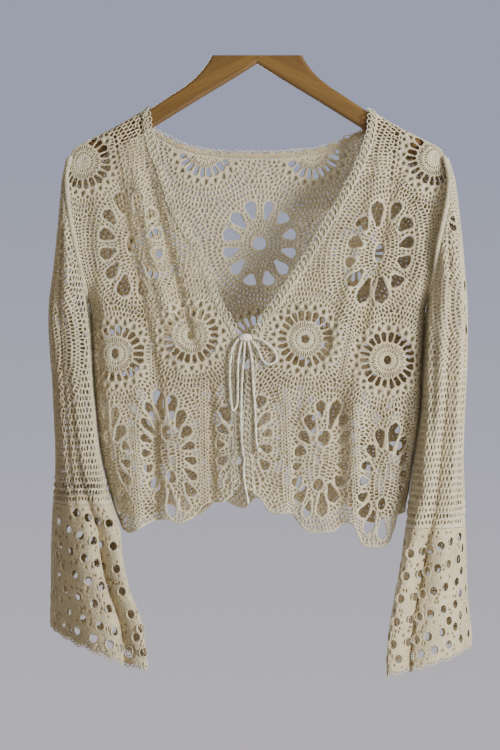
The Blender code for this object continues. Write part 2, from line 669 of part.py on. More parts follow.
def front_panel(side, material):
    hand = -1 if side == "left" else 1
    edge = to_seam(offset_line(front_line(side), hand * (BORDER + SEAM)))
    hem = np.stack([HEM[side]["x"], HEM[side]["z"]], axis=1)
    edge[-1, 1] = np.interp(hand * edge[-1, 0], hand * hem[:, 0], hem[:, 1])
    hem = hem[hand * hem[:, 0] > hand * edge[-1, 0] + HEM_ROOM]
    outline = np.vstack([
        shoulder_line(side, edge[0, 0]),
        side_line(side, hem[-1, 1] + HEM_TO_SIDE),
        hem[::-1],
        edge[::-1][:-1],
    ])
    gaps = [gap for flower in FLOWERS[f"front_{side}"] for gap in flower_gaps(flower)]
    gaps += [ring(*wheel, EYE_SIDES) for wheel in WHEELS[f"front_{side}"]]
    wall(f"front_{side}", outline, gaps, lambda points: body_surface(points, -1), material, roll_rows())


def back_panel(material):
    neck = to_seam(to_seam(offset_line(neck_line(), -(BORDER + SEAM)))[::-1])[::-1]
    hem = np.stack([HEM["back"]["x"], HEM["back"]["z"]], axis=1)
    outline = np.vstack([
        shoulder_line("left", neck[0, 0]),
        side_line("left", hem[0, 1] + HEM_TO_SIDE),
        hem,
        side_line("right", hem[-1, 1] + HEM_TO_SIDE)[::-1],
        shoulder_line("right", neck[-1, 0])[::-1],
        neck[1:-1][::-1],
    ])
    gaps = [gap for flower in FLOWERS["back"] for gap in flower_gaps(flower)]
    gaps += [ring(*wheel, EYE_SIDES) for wheel in WHEELS["back"]]
    wall("back_panel", outline, gaps, lambda points: body_surface(points, 1), material, roll_rows())


def border(name, line, inward, face, material):
    """A strip along an edge, straight against the panel and scalloped outside."""
    inner = to_seam(offset_line(line, inward * BORDER))
    length = np.linalg.norm(np.diff(line, axis=0), axis=1).sum()
    scallops = int(length / SCALLOP_PITCH)
    outer = resample(line, length / (3 * scallops))
    wave = np.where(np.arange(len(outer)) % 3 == 1, SCALLOP_DEPTH, 0.0)
    wave[[0, -1]] = 0
    outer = outer + (offset_line(outer, inward) - outer) * wave[:, None]
    if face > 0:
        inner = to_seam(inner[::-1])[::-1]
    outline = np.vstack([outer, inner[::-1]])
    wall(name, outline, [], lambda points: body_surface(points, face), material, roll_rows())


def sleeve_halves(side, material):
    """A sleeve in two halves that meet along its outer and inner sides, from armhole to cuff."""
    low = CUFF_SEAM[side] + SEAM / 2
    edge_angle = np.radians(np.array(ARM_SEAM["angle"][::-1]))
    edge_height = np.array(ARM_SEAM["z"][::-1]) - SLEEVE_DROP
    edge = np.stack([edge_angle * SLEEVE_RADIUS - SEAM / 2, edge_height], axis=1)
    crown = np.stack([np.linspace(SEAM / 2, edge[0, 0], 5)[:-1], np.full(4, SLEEVE_TOP)], axis=1)
    inner = resample([edge[-1], (edge[-1, 0], low)], SLEEVE_STEP["long"])
    foot = resample([(edge[-1, 0], low), (SEAM / 2, low)], SLEEVE_STEP["cuff"])
    outer = resample([(SEAM / 2, low), (SEAM / 2, SLEEVE_TOP)], SLEEVE_STEP["long"])
    seam = resample(edge, SLEEVE_STEP["seam"])
    outline = np.vstack([crown, seam, inner[1:], foot[1:], outer[1:-1]])
    for half, sign in (("front", 1), ("back", -1)):
        turned = outline * (sign, 1)
        wall(f"sleeve_{side}_{half}", turned, [], lambda points: sleeve_surface(points, side), material)


def cuff_edge(side, across):
    """Height of a cuff's scalloped lower edge."""
    row = CUFF_EDGE[side]
    angle = across / SLEEVE_RADIUS
    dip = row["dip"] * np.cos(angle - np.radians(row["angle"]))
    return row["z"] - dip - CUFF_SCALLOP_DEPTH * np.abs(np.sin(angle * CUFF_SCALLOPS))


def cuff_halves(side, material):
    top = CUFF_SEAM[side] - SEAM / 2
    half_round = np.pi * SLEEVE_RADIUS
    count = int(half_round * CUFF_WIDENS / EYELET["pitch"])
    for half, sign in (("front", 1), ("back", -1)):
        across = np.linspace(SEAM / 2, half_round - SEAM / 2, CUFF_POINTS) * sign
        low = np.stack([across, cuff_edge(side, across)], axis=1)
        high = resample([(across[-1], top), (across[0], top)], SLEEVE_STEP["cuff"])
        gaps = []
        for row in range(EYELET["rows"]):
            above = EYELET["above_edge"] + row * EYELET["row"]
            for step in range(count):
                place = (step + 0.5 + 0.5 * row) / count * half_round * sign
                height = cuff_edge(side, place) + above
                gaps.append(ring(place, height, EYELET["half_width"], EYELET["half_height"], EYE_SIDES))
        wall(f"cuff_{side}_{half}", np.vstack([low, high]), gaps,
             lambda points: sleeve_surface(points, side), material)


def hanger(material):
    """Two wooden arms in one outline, flat at the crown, with rounded long edges."""
    arm = [(x, shoulder_top(x) - HANGER_UNDER) for x in HANGER_ARM]
    tip_top = shoulder_top(HANGER_TIP["x"][0]) - HANGER_UNDER
    tip = [(x, tip_top - below) for x, below in zip(HANGER_TIP["x"], HANGER_TIP["below"])]
    neck = list(zip(HANGER_NECK["x"], HANGER_NECK["z"]))
    foot = list(zip(HANGER_FOOT["x"], HANGER_FOOT["z"]))
    half = np.array(neck + arm + tip + foot)
    outline = np.vstack([half, half[-2::-1] * (-1, 1)])
    shape = bmesh.new()
    front = [shape.verts.new((x * MM, -HANGER_THICK / 2 * MM, z * MM)) for x, z in outline]
    back = [shape.verts.new((x * MM, HANGER_THICK / 2 * MM, z * MM)) for x, z in outline]
    shape.faces.new(front)
    shape.faces.new(back[::-1])
    count = len(front)
    for i in range(count):
        j = (i + 1) % count
        shape.faces.new((front[i], back[i], back[j], front[j]))
    bmesh.ops.recalc_face_normals(shape, faces=shape.faces)
    rims = [edge for edge in shape.edges if abs(edge.verts[0].co.y - edge.verts[1].co.y) < MM]
    rounded = [edge for edge in rims if min(vertex.co.z for vertex in edge.verts) < -MM]
    bmesh.ops.bevel(shape, geom=rounded, offset=HANGER_ROUND * MM, segments=HANGER_STEPS,
                    affect="EDGES", profile=0.5)
    mesh = bpy.data.meshes.new("hanger")
    shape.to_mesh(mesh)
    shape.free()
    finish("hanger", mesh, material)


def before_cloth(x, z, lift):
    """Depth of a cord's middle, so that it hangs just before the front at this place."""
    place = body_surface(np.stack([x, z], axis=1), -1)
    return place[:, 1] - WALL / 2 - CORD_LIFT - CORD / 2 - lift


def knot_centre():
    place = body_surface(np.array([[KNOT["x"], KNOT["z"]]]), -1)[0]
    return place - (0, KNOT["proud"], 0)


def on_knot(angle):
    """Where a cord's end meets the bow knot, at an angle round it seen from the front."""
    turn = np.radians(angle)
    reach = np.array([KNOT["wide"] * np.cos(turn), 0, KNOT["tall"] * np.sin(turn)])
    outward = np.array([np.cos(turn) / KNOT["wide"], 0, np.sin(turn) / KNOT["tall"]])
    return knot_centre() + reach + outward / np.linalg.norm(outward) * TOUCH


def cord_line(name):
    """Points along a cord's middle, on one smooth curve through its rows."""
    rows = CORDS[name]
    x, z = np.array(rows["x"]), np.array(rows["z"])
    places = [np.stack([x, before_cloth(x, z, np.array(rows["lift"])), z], axis=1)]
    places.insert(0, on_knot(rows["from"])[None])
    if rows["to"] is not None:
        places.append(on_knot(rows["to"])[None])
    places = np.vstack(places)
    run = np.concatenate([[0], np.cumsum(np.linalg.norm(np.diff(places, axis=0), axis=1))])
    at = np.linspace(0, run[-1], CORD_POINTS)
    return np.stack([curve(at, run, places[:, axis]) for axis in range(3)], axis=1)


def cord(name, material):
    data = bpy.data.curves.new(name, "CURVE")
    data.dimensions = "3D"
    data.bevel_depth = CORD / 2 * MM
    data.bevel_resolution = 2
    data.use_fill_caps = True
    spline = data.splines.new("POLY")
    spline.points.add(CORD_POINTS - 1)
    for point, place in zip(spline.points, cord_line(name)):
        point.co = (*(place * MM), 1.0)
    finish(name, data, material)


def round_knot(name, centre, radii, material):
    mesh = bpy.data.meshes.new(name)
    shape = bmesh.new()
    bmesh.ops.create_uvsphere(shape, u_segments=12, v_segments=8, radius=1.0)
    for vertex in shape.verts:
        vertex.co = [(c + r * v) * MM for c, r, v in zip(centre, radii, vertex.co)]
    bmesh.ops.triangulate(shape, faces=shape.faces)
    bmesh.ops.recalc_face_normals(shape, faces=shape.faces)
    shape.to_mesh(mesh)
    shape.free()
    finish(name, mesh, material)


def knots(material):
    round_knot("tie_knot", knot_centre(), (KNOT["wide"], KNOT["deep"], KNOT["tall"]), material)
    line = cord_line("tie_tail_right")
    along = (line[-1] - line[-2]) / np.linalg.norm(line[-1] - line[-2])
    round_knot("tie_end_knot", line[-1] + along * (END_KNOT + TOUCH), [END_KNOT] * 3, material)


def material(name, colour, roughness):
    made = bpy.data.materials.new(name)
    made.use_nodes = True
    shader = made.node_tree.nodes["Principled BSDF"]
    shader.inputs["Base Color"].default_value = (*colour, 1.0)
    shader.inputs["Roughness"].default_value = roughness
    shader.inputs["Metallic"].default_value = 0.0
    return made


def build():
    for thing in list(bpy.data.objects):
        bpy.data.objects.remove(thing, do_unlink=True)
    lace = material("cream cotton lace", (0.62, 0.56, 0.44), 0.85)
    edging = material("cream cotton edging", (0.66, 0.61, 0.50), 0.82)
    cuff_lace = material("cream cotton cuff", (0.60, 0.53, 0.41), 0.85)
    tie = material("off-white tie cord", (0.72, 0.70, 0.62), 0.75)
    wood = material("varnished beech", (0.36, 0.21, 0.09), 0.45)
    back_panel(lace)
    border("neck_border_back", neck_line(), -1, 1, edging)
    for side, hand in (("left", -1), ("right", 1)):
        front_panel(side, lace)
        border(f"front_border_{side}", front_line(side), hand, -1, edging)
        sleeve_halves(side, lace)
        cuff_halves(side, cuff_lace)
    hanger(wood)
    for name in CORDS:
        cord(name, tie)
    knots(tie)


build()
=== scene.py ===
import bmesh
import bpy
import numpy as np
from mathutils import Matrix, Vector
from mathutils.geometry import delaunay_2d_cdt


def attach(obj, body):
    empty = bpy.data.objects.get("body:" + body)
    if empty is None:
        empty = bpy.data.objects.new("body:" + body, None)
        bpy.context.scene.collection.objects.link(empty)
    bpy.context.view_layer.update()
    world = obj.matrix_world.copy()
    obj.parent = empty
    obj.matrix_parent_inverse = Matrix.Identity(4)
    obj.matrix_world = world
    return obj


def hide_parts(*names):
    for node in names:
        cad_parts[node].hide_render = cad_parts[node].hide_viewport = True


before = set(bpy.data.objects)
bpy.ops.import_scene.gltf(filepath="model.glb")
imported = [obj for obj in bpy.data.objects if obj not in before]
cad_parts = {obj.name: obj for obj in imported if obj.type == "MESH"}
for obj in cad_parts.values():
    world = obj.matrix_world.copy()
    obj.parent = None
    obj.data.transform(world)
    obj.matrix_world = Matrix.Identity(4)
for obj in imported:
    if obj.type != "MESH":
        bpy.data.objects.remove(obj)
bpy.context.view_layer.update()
mm = 0.001
hands = {"left": -1, "right": 1}  # which way is out on each side
print("frame loaded")

clothThick = 1.8  # thickness of the crochet
seamGap = 0.3  # gap between two sewn pieces
sideGap = clothThick + 0.7  # between the middles of a sleeve's wall and the side of the body
borderWidth = 6.0  # width of the shell-stitch border
scallop = {"pitch": 14.0, "depth": 1.6, "steps": 8}
quarterTurn = np.pi / 2
edgeSteps = (0.0, 0.1, 0.2, 0.32, 0.48, 0.7)  # shares of the way to an edge's second point
seamRoom = 1.5  # an edge's second point is at least this far below the shoulder seam
shoulderRoll = 9.0
shoulderLean = 1.15  # the slope of the arms makes the roll this much taller
sideRoll = 26.0
rollSpare = quarterTurn - 1  # cloth that a quarter turn takes up, for each unit of its radius
rollSettle = 120.0  # the lean of the shoulder is made up over this height
bodyGrow = 60.0  # the body reaches its full depth this far below its shoulder
sideTop = -121.0  # top of the side edges
tipCut = 3.0  # the shoulder seam ends this far before the side edge
hemRoom = 3.0  # least space between the hem's first point and the front edge
hemToSide = 8.0  # height of the side edge's foot above the hem's last point
# Top of the cloth along an arm, and half of the body's depth at each height
shoulderShape = {
    "x": (110, 126, 165, 200, 211, 222),
    "z": (-52, -61, -83.5, -101, -107.5, -117),
}
bodyDepth = {
    "z": (-570, -450, -330, -220, -150, -100, -60),
    "half": (23, 25, 28, 27, 21, 13, 8.5),
}
bodyLens = 0.22  # how much flatter the body is at its sides than in its middle
# One row for each height of a sleeve: its outer and inner sides, half of its depth and how far
# its long axis is turned
sleeveShape = {
    "left": {
        "z": (-705, -646, -608, -566, -545, -512, -478, -391, -284, -240, -212, -167, -142, -117),
        "outer": (243, 240.5, 239, 238, 237, 234.5, 232, 234, 238, 232.5, 229.5, 225.5, 223,
                  218.5),
        "inner": (126, 133, 147, 155, 157, 167, 176, 187, 194.5, 203, 209, 216.5, 218.5, 215.5),
        "depth": (58, 56, 54, 52, 50, 48, 47, 48, 46, 42, 39, 30, 21, 7),
        "turn": (42, 40, 36, 30, 26, 18, 12, 6, 0, 0, 0, 0, 0, 0),
    },
    "right": {
        "z": (-715, -661, -620, -585, -545, -505, -457, -421, -346, -281, -254, -215, -194, -167,
              -144, -117),
        "outer": (254, 249, 244, 242, 240.5, 239, 237, 238, 241, 240.5, 238.5, 235.5, 233, 230,
                  227, 219.5),
        "inner": (147, 150, 157, 164, 170, 175, 182, 187.5, 192, 197, 202, 207.5, 212, 217.5,
                  220, 216),
        "depth": (57, 55, 52, 50, 48, 47, 47, 47, 48, 46, 44, 39, 35, 30, 21, 7),
        "turn": (42, 38, 34, 28, 22, 14, 8, 6, 3, 0, 0, 0, 0, 0, 0, 0),
    },
}
sleeveRadius = 45.0  # turns an angle round a sleeve into cloth coordinates
armpit = -290.0
sleeveTop = -118.0
sleeveDrop = 0.5  # the sleeve's edge lies this far below the armhole's
# Angle round a sleeve where the armhole seam meets it
armSeam = {
    "z": (armpit, -270, -235, -190, -150, sleeveTop),
    "angle": (180, 157, 134, 116, 104, 97),
}
cuffSeam = {"left": -514.0, "right": -541.0}
# Lowest edge of a cuff: its middle height, how far it dips and towards which angle, its scallops,
# and how much longer it is than its cloth coordinates
cuffHem = {
    "left": {"z": -672.0, "dip": 20.0, "angle": 128.0},
    "right": {"z": -687.0, "dip": 13.0, "angle": 128.0},
    "scallops": 9,
    "scallopDepth": 3.0,
    "widens": 1.25,
}
# Long folds of the sleeves: angle round the sleeve, half width, depth, and the heights they span
sleeveFolds = {
    "left": ((88, 26, 11, -240, -560), (92, 34, 17, -520, -760), (-80, 30, 12, -230, -740),
             (-140, 18, 6, -330, -620), (38, 16, 4, -300, -520)),
    "right": ((78, 26, 10, -240, -560), (84, 34, 18, -520, -770), (-84, 30, 12, -230, -750),
              (-135, 18, 6, -330, -620), (128, 15, 5, -300, -520)),
}
sleeveFade = {"top": 0.25, "foot": 0.12}  # shares of a fold's length over which it grows and ends
foldNarrows = 0.55  # how much a sleeve's fold narrows it, as a share of how much it flattens it
# Soft folds of the body: x and z at the top, x and z at the foot, half width, and how far out
bodyFolds = {
    "front": ((-120, -110, -66, -300, 16, 3), (124, -110, 60, -300, 16, 3),
              (-168, -190, -142, -540, 13, 3.5), (172, -190, 118, -540, 14, -3.5),
              (-70, -330, -60, -540, 13, -2.6), (96, -360, 100, -570, 12, -3),
              (-118, -380, -125, -560, 12, -2.2), (40, -350, 34, -540, 12, 2.4)),
    "back": ((-110, -130, -80, -540, 18, 3), (112, -130, 86, -540, 18, 3.2),
             (6, -260, -4, -560, 16, -2.8), (-170, -260, -150, -560, 12, -2.5),
             (174, -260, 158, -560, 12, -2.5)),
}
bodyFade = 0.3  # share of a fold's length over which it grows and ends
bodyFoldEnd = 1.25  # and it runs out this far along its length
# Front edges from the shoulder down the V, the tie and the centre opening to the hem
frontEdge = {
    "left": {
        "x": (-125, -121.9, -104.7, -89.5, -69, -41.4, -21.5, -20.5, -19, -18, -18.5, -23, -21),
        "z": (-60, -84, -140, -184, -216, -284, -322, -335, -385, -438, -452, -466, -497),
    },
    "right": {
        "x": (129, 128, 118.5, 108, 82.8, 63.3, 44.3, 23, 1.7, -4.5, -8, -11, -15.5, -15.5, -13,
              -11.5),
        "z": (-62, -82, -114, -139, -184, -217, -247, -277, -307, -322, -345, -385, -432, -452,
              -470, -499),
    },
}
# Scalloped hem from the front edge to the side
hemEdge = {
    "left": {
        "x": (-21, -29, -38, -50, -58.5, -68, -78, -90, -102, -117, -132, -145),
        "z": (-498, -505, -511.5, -512, -514, -525, -533, -536, -532, -533.5, -541, -547),
    },
    "right": {
        "x": (-11, 2, 14, 26, 38, 47, 56, 74, 91, 97, 108, 115, 122, 134, 147, 157, 166),
        "z": (-500, -506, -523, -525.5, -524, -535, -545, -546.5, -544, -537, -537, -551, -562,
              -564, -562, -544, -520),
    },
    "back": {
        "x": (-150, -132, -118, -102, -86, -72, -58, -42, -28, -14, 0, 14, 28, 42, 58, 72, 86,
              102, 118, 132, 150),
        "z": (-529, -536, -528, -517, -526, -532, -523, -509, -518, -521, -509, -521, -519, -510,
              -523, -534, -527, -517, -529, -538, -532),
    },
}
# Back neckline from one shoulder to the other
backNeck = {
    "x": (-125, -119, -107, -92, -69, -37, 0, 37, 69, 92, 107, 121, 129),
    "z": (-60, -83, -89, -97, -104.5, -108, -109, -108, -104.5, -97, -90, -83, -62),
}
# Oval flowers: centre, half width and height of the ring of petal gaps, gaps round it, where each
# gap starts as a share of the way out, how the oval leans, and the eyes (distance above the
# centre, half width, half height)
flowers = {
    "front_left": ((-144, -218, 36, 64, 12, 0.58, -0.05, ((0, 5, 10),)),
                   (-101, -456, 31, 74, 17, 0.6, -0.12, ((24, 5, 9), (-27, 5, 7))),
                   (-171, -458, 26, 70, 14, 0.56, -0.1, ((20, 5, 8),)),
                   (-16, -446, 31, 70, 15, 0.58, -0.02, ())),
    "front_right": ((139, -227, 38, 62, 12, 0.58, 0.17, ((0, 5, 10),)),
                    (73, -462, 32, 70, 16, 0.6, 0.13, ((23, 7, 9), (-30, 6, 7))),
                    (145, -488, 29, 68, 15, 0.58, 0.12, ((24, 5, 9), (-26, 4, 7))),
                    (-14, -442, 31, 68, 15, 0.58, 0.02, ())),
    "back": ((3, -214, 44, 51, 12, 0.58, 0, ((0, 8, 8),)),
             (-122, -440, 31, 64, 15, 0.6, 0, ((22, 6, 9),)),
             (-46, -440, 31, 64, 15, 0.6, 0, ((22, 6, 9),)),
             (46, -440, 31, 64, 15, 0.6, 0, ((22, 6, 9),)),
             (138, -440, 31, 64, 15, 0.6, 0, ((22, 6, 9),))),
}
gapShare = 0.30  # half width of a petal gap as a share of the space between two
# Round wheels, whose middle hole is open: centre and the hole's half width and height
wheels = {
    "front_left": ((-161.6, -342.7, 4.2, 6), (-75.6, -321.7, 4, 5.6)),
    "front_right": ((54.3, -326, 5, 5), (148.4, -350, 4.2, 5.2)),
    "back": ((-150, -338, 4.5, 5), (-75, -332, 4.5, 5), (0, -330, 4.5, 5), (75, -332, 4.5, 5),
             (150, -338, 4.5, 5), (-114, -226, 4.5, 5), (116, -226, 4.5, 5)),
}
cordThick = 2.6
cordLift = 0.5  # air between a cord and the cloth that it hangs before
touch = 0.35  # air between a cord's end and the knot that it goes into
cordPoints = 23
endKnot = 2.8  # radius of the knot on the right tail's end
bowKnot = {"x": -13.0, "z": -324.5, "wide": 8.0, "tall": 4.6, "deep": 3.8, "proud": 3.0}
# Middle line of each cord: the angles on the bow knot where it starts and ends, and between them
# its place across, its height and how far it stands before the cloth
cordRows = {
    "tie_loop_left": {
        "from": 196,
        "to": 236,
        "x": (-26.4, -29.8, -31, -30.8, -29.4, -26.4, -23.2, -22.2, -22, -21),
        "z": (-333, -346, -362, -380, -398, -408.5, -401, -385, -366, -346),
        "lift": (1.6, 1.2, 0.8, 0.6, 0.6, 0.6, 0.6, 0.6, 0.8, 1),
    },
    "tie_loop_right": {
        "from": 358,
        "to": 320,
        "x": (3.5, 11, 18, 22.3, 21, 15.2, 8.6, 4.2, 0.2),
        "z": (-326.5, -331.5, -337.5, -344.5, -351, -354.6, -353, -346, -336.5),
        "lift": (1.2, 1.4, 1.2, 1, 0.8, 0.8, 1, 1.4, 1.6),
    },
    "tie_tail_left": {
        "from": 263,
        "to": None,
        "x": (-15, -17, -18, -18.2, -17.6, -16.6, -14.6, -15.4, -14.6, -12.2, -9.8),
        "z": (-345, -370, -395, -420, -440, -452, -463, -474, -486, -500, -513),
        "lift": (0.8, 0.8, 1, 1, 1, 1, 0.8, 0.8, 0.8, 0.8, 0.6),
    },
    "tie_tail_right": {
        "from": 291,
        "to": None,
        "x": (-7.6, -6, -5.2, -4.6, -3.2, -2, -1.4, -0.6, 1),
        "z": (-340, -352, -364, -378, -396, -416, -432, -444, -449),
        "lift": (0.6, 0.4, 0.4, 0.4, 0.4, 0.4, 0.6, 1.4, 1.8),
    },
}

# Smooth curve through a table's rows
def curve(at, where, value):
    where = np.asarray(where, float)
    value = np.asarray(value, float)
    slope = np.gradient(value, where)
    at = np.clip(at, where[0], where[-1])
    row = np.clip(np.searchsorted(where, at) - 1, 0, len(where) - 2)
    step = where[row + 1] - where[row]
    t = (at - where[row]) / step
    rise = value[row + 1] - value[row]
    start, end = slope[row] * step, slope[row + 1] * step
    bend = t * t * (3 * rise - 2 * start - end)
    return value[row] + t * start + bend + t**3 * (start + end - 2 * rise)

def smooth(share):
    share = np.clip(share, 0, 1)
    return share * share * (3 - 2 * share)

def unit(rows):
    return rows / np.maximum(np.linalg.norm(rows, axis=1), 1e-9)[:, None]

# Distance along a line at each of its points, and places at such distances
def runAlong(line):
    return np.concatenate([[0], np.cumsum(np.linalg.norm(np.diff(line, axis=0), axis=1))])

def alongLine(at, run, line):
    return np.stack([np.interp(at, run, line[:, i]) for i in range(line.shape[1])], axis=1)

def shoulderTop(x):
    return curve(np.abs(x), shoulderShape["x"], shoulderShape["z"])

# Angle round a sleeve, in radians, where it ends at this height
def seamAngle(z):
    return np.radians(curve(z, armSeam["z"], armSeam["angle"]))

# Outer and inner side, half depth and turn of a sleeve at a height
def sleeveRow(side, z):
    rows = sleeveShape[side]
    return [curve(z, rows["z"], rows[name]) for name in ("outer", "inner", "depth", "turn")]

# How far out the body's side is at a height, just inside the sleeve that hangs beside it
def bodySide(side, z):
    return sleeveRow(side, z)[1] - sideGap

# Half of the armhole's opening at a height, and only half a seam below the armpit
def armholeDepth(side, z):
    depth = sleeveRow(side, z)[2] * np.sin(seamAngle(z))
    return np.where(z > armpit, np.maximum(depth, 0), 0) + seamGap / 2

# How far the body's soft folds lift the cloth at a point
def foldHeight(folds, x, z):
    lift = np.zeros_like(x)
    for xTop, zTop, xLow, zLow, width, out in folds:
        share = (zTop - z) / (zTop - zLow)
        middle = xTop + (xLow - xTop) * share
        fade = smooth(share / bodyFade) * smooth((bodyFoldEnd - share) / bodyFade)
        lift += out * fade * np.exp(-(((x - middle) / width) ** 2))
    return lift

# How far a sleeve's long folds press it in, as a share of its depth
def foldShare(side, angle, z, narrow=1.0):
    depth = sleeveRow(side, z)[2]
    pressed = np.zeros_like(z)
    for middle, width, deep, top, low in sleeveFolds[side]:
        share = (top - z) / (top - low)
        fade = smooth(share / sleeveFade["top"]) * smooth((1 - share) / sleeveFade["foot"])
        away = (angle - middle + 180) % 360 - 180
        pressed += deep / depth * fade * np.exp(-((away / (narrow * width)) ** 2))
    return pressed

# Cloth coordinates of the body to places in space: face is -1 for the front, 1 for the back
def bodySurface(points, face):
    across, height = points[:, 0], points[:, 1]
    hand = np.where(across < 0, -1.0, 1.0)
    level = np.minimum(height, shoulderTop(across))
    side = np.where(across < 0, bodySide("left", level), bodySide("right", level))
    armhole = np.where(across < 0, armholeDepth("left", level), armholeDepth("right", level))

    along = side + rollSpare * sideRoll - np.abs(across)
    turn = np.minimum(along / sideRoll, quarterTurn)
    turned = side - sideRoll * (1 - np.cos(turn))
    x = np.where(along < quarterTurn * sideRoll, turned, np.abs(across))
    sideShare = np.sin(turn)

    top = shoulderTop(x)
    down = top + rollSpare * shoulderRoll - height
    turn = np.minimum(down / shoulderRoll, quarterTurn)
    rolled = top - shoulderRoll * shoulderLean * (1 - np.cos(turn))
    settled = height - (shoulderLean - 1) * shoulderRoll * np.clip(1 - down / rollSettle, 0, 1)
    z = np.where(down < quarterTurn * shoulderRoll, rolled, np.minimum(settled, rolled))

    half = curve(z, bodyDepth["z"], bodyDepth["half"]) * (1 - bodyLens * (x / side) ** 2)
    lift = foldHeight(bodyFolds["front" if face < 0 else "back"], hand * x, z)
    grow = smooth((top - z) / bodyGrow)
    depth = shoulderRoll * np.sin(turn) + grow * (half - shoulderRoll + lift)
    armhole = np.minimum(armhole, seamGap / 2 + 3 * np.maximum(top - z, 0))
    y = armhole + (depth - armhole + seamGap / 2) * sideShare
    return np.stack([hand * x, face * y, z], axis=1)

# Cloth coordinates of a sleeve and its cuff to places in space
def sleeveSurface(points, side):
    angle, z = points[:, 0] / sleeveRadius, points[:, 1]
    outer, inner, depth, turn = sleeveRow(side, z)
    end = np.cos(seamAngle(z))
    middle = (outer * (-end) + inner) / (1 - end)
    reach = (outer - inner) / (1 - end)
    squeeze = 1 - foldShare(side, np.degrees(angle), z)
    narrowed = 1 - foldNarrows * (1 - squeeze)
    x = middle + reach * np.cos(angle + np.radians(turn)) * narrowed
    return np.stack([hands[side] * x, -depth * np.sin(angle) * squeeze, z], axis=1)

# Each point of an open line moved to the left of its direction
def offsetLine(line, distance):
    line = np.asarray(line, float)
    step = np.diff(line, axis=0)
    step /= np.linalg.norm(step, axis=1)[:, None]
    first = np.vstack([step[:1], step])
    along = first + np.vstack([step, step[-1:]])
    along /= np.linalg.norm(along, axis=1)[:, None]
    share = 1 / np.maximum((along * first).sum(axis=1), 0.5)
    return line + distance * share[:, None] * np.stack([-along[:, 1], along[:, 0]], axis=1)

# Points about this far apart along a line, straight between its own or on a curve through them
def evenSteps(run, spacing):
    return np.linspace(0, run[-1], max(2, int(round(run[-1] / spacing)) + 1))

def resample(line, spacing):
    run = runAlong(line)
    return alongLine(evenSteps(run, spacing), run, line)

def softLine(line, spacing):
    run = runAlong(line)
    at = evenSteps(run, spacing)
    return np.stack([curve(at, run, line[:, i]) for i in range(2)], axis=1)

# Height of the shoulder seam in cloth coordinates
def topEdge(x):
    return shoulderTop(x) + rollSpare * shoulderRoll

# A line cut off at the shoulder seam, where it starts
def toSeam(line):
    start = (line[0, 0], topEdge(line[0, 0]))
    below = line[:, 1] < topEdge(line[:, 0]) - seamRoom
    return np.vstack([start, line[below]])

# An edge whose first point is moved up to the shoulder seam, with points where it rolls over
def overShoulder(line):
    start = np.array([line[0, 0], topEdge(line[0, 0])])
    steps = np.array(edgeSteps)[:, None]
    return np.vstack([start + (line[1] - start) * steps, line[1:]])

def tableLine(rows):
    return np.stack([rows["x"], rows["z"]], axis=1).astype(float)

def frontLine(side):
    return overShoulder(tableLine(frontEdge[side]))

def neckLine():
    return overShoulder(overShoulder(tableLine(backNeck))[::-1])[::-1]

# The body's side edge in cloth coordinates, from the shoulder's tip down to the hem
def sideEdge(side, heights):
    return hands[side] * (bodySide(side, heights) + rollSpare * sideRoll)

def sideLine(side, low):
    heights = np.concatenate([np.linspace(sideTop, armpit, 9), np.linspace(armpit, low, 9)[1:]])
    return np.stack([sideEdge(side, heights), heights], axis=1)

# The shoulder seam in cloth coordinates, from the neck out to the tip
def shoulderLine(side, start):
    x = np.linspace(abs(start), bodySide(side, sideTop) + rollSpare * sideRoll - tipCut, 9)
    return np.stack([hands[side] * x, topEdge(x)], axis=1)

def knotCentre():
    place = bodySurface(np.array([[bowKnot["x"], bowKnot["z"]]]), -1)[0]
    return place - (0, bowKnot["proud"], 0)

# Where a cord's end meets the bow knot, at an angle round it seen from the front
def onKnot(angle):
    turn = np.radians(angle)
    reach = np.array([bowKnot["wide"] * np.cos(turn), 0, bowKnot["tall"] * np.sin(turn)])
    outward = np.array([np.cos(turn) / bowKnot["wide"], 0, np.sin(turn) / bowKnot["tall"]])
    return knotCentre() + reach + outward / np.linalg.norm(outward) * touch

# Points along a cord's middle, on one smooth curve through its rows, just before the front
def cordLine(name):
    rows = cordRows[name]
    flat = tableLine(rows)
    y = bodySurface(flat, -1)[:, 1] - clothThick / 2 - cordLift - cordThick / 2 - rows["lift"]
    places = [onKnot(rows["from"])[None], np.stack([flat[:, 0], y, flat[:, 1]], axis=1)]
    if rows["to"] is not None:
        places.append(onKnot(rows["to"])[None])
    return curveThrough(np.vstack(places), cordPoints)

def curveThrough(places, count):
    run = runAlong(places)
    at = np.linspace(0, run[-1], count)
    return np.stack([curve(at, run, places[:, axis]) for axis in range(3)], axis=1)

# Height of a cuff's scalloped lower edge
def cuffEdge(side, across):
    row = cuffHem[side]
    angle = across / sleeveRadius
    dip = row["dip"] * np.cos(angle - np.radians(row["angle"]))
    wave = cuffHem["scallopDepth"] * np.abs(np.sin(angle * cuffHem["scallops"]))
    return row["z"] - dip - wave

# Camera at the photo's angle, with the photo's frame of 500 by 750
cameraView = {"x": -8.0, "z": -367.0, "height": 862.5, "distance": 2300.0, "sensor": 36.0}

def newObject(name, data):
    thing = bpy.data.objects.new(name, data)
    bpy.context.scene.collection.objects.link(thing)
    return thing

def makeCamera():
    data = bpy.data.cameras.new("camera")
    data.sensor_fit = "VERTICAL"
    data.sensor_height = cameraView["sensor"]
    data.lens = cameraView["sensor"] * cameraView["distance"] / cameraView["height"]
    camera = newObject("camera", data)
    camera.location = Vector((cameraView["x"], -cameraView["distance"], cameraView["z"])) * mm
    camera.rotation_euler = (quarterTurn, 0, 0)
    bpy.context.scene.camera = camera

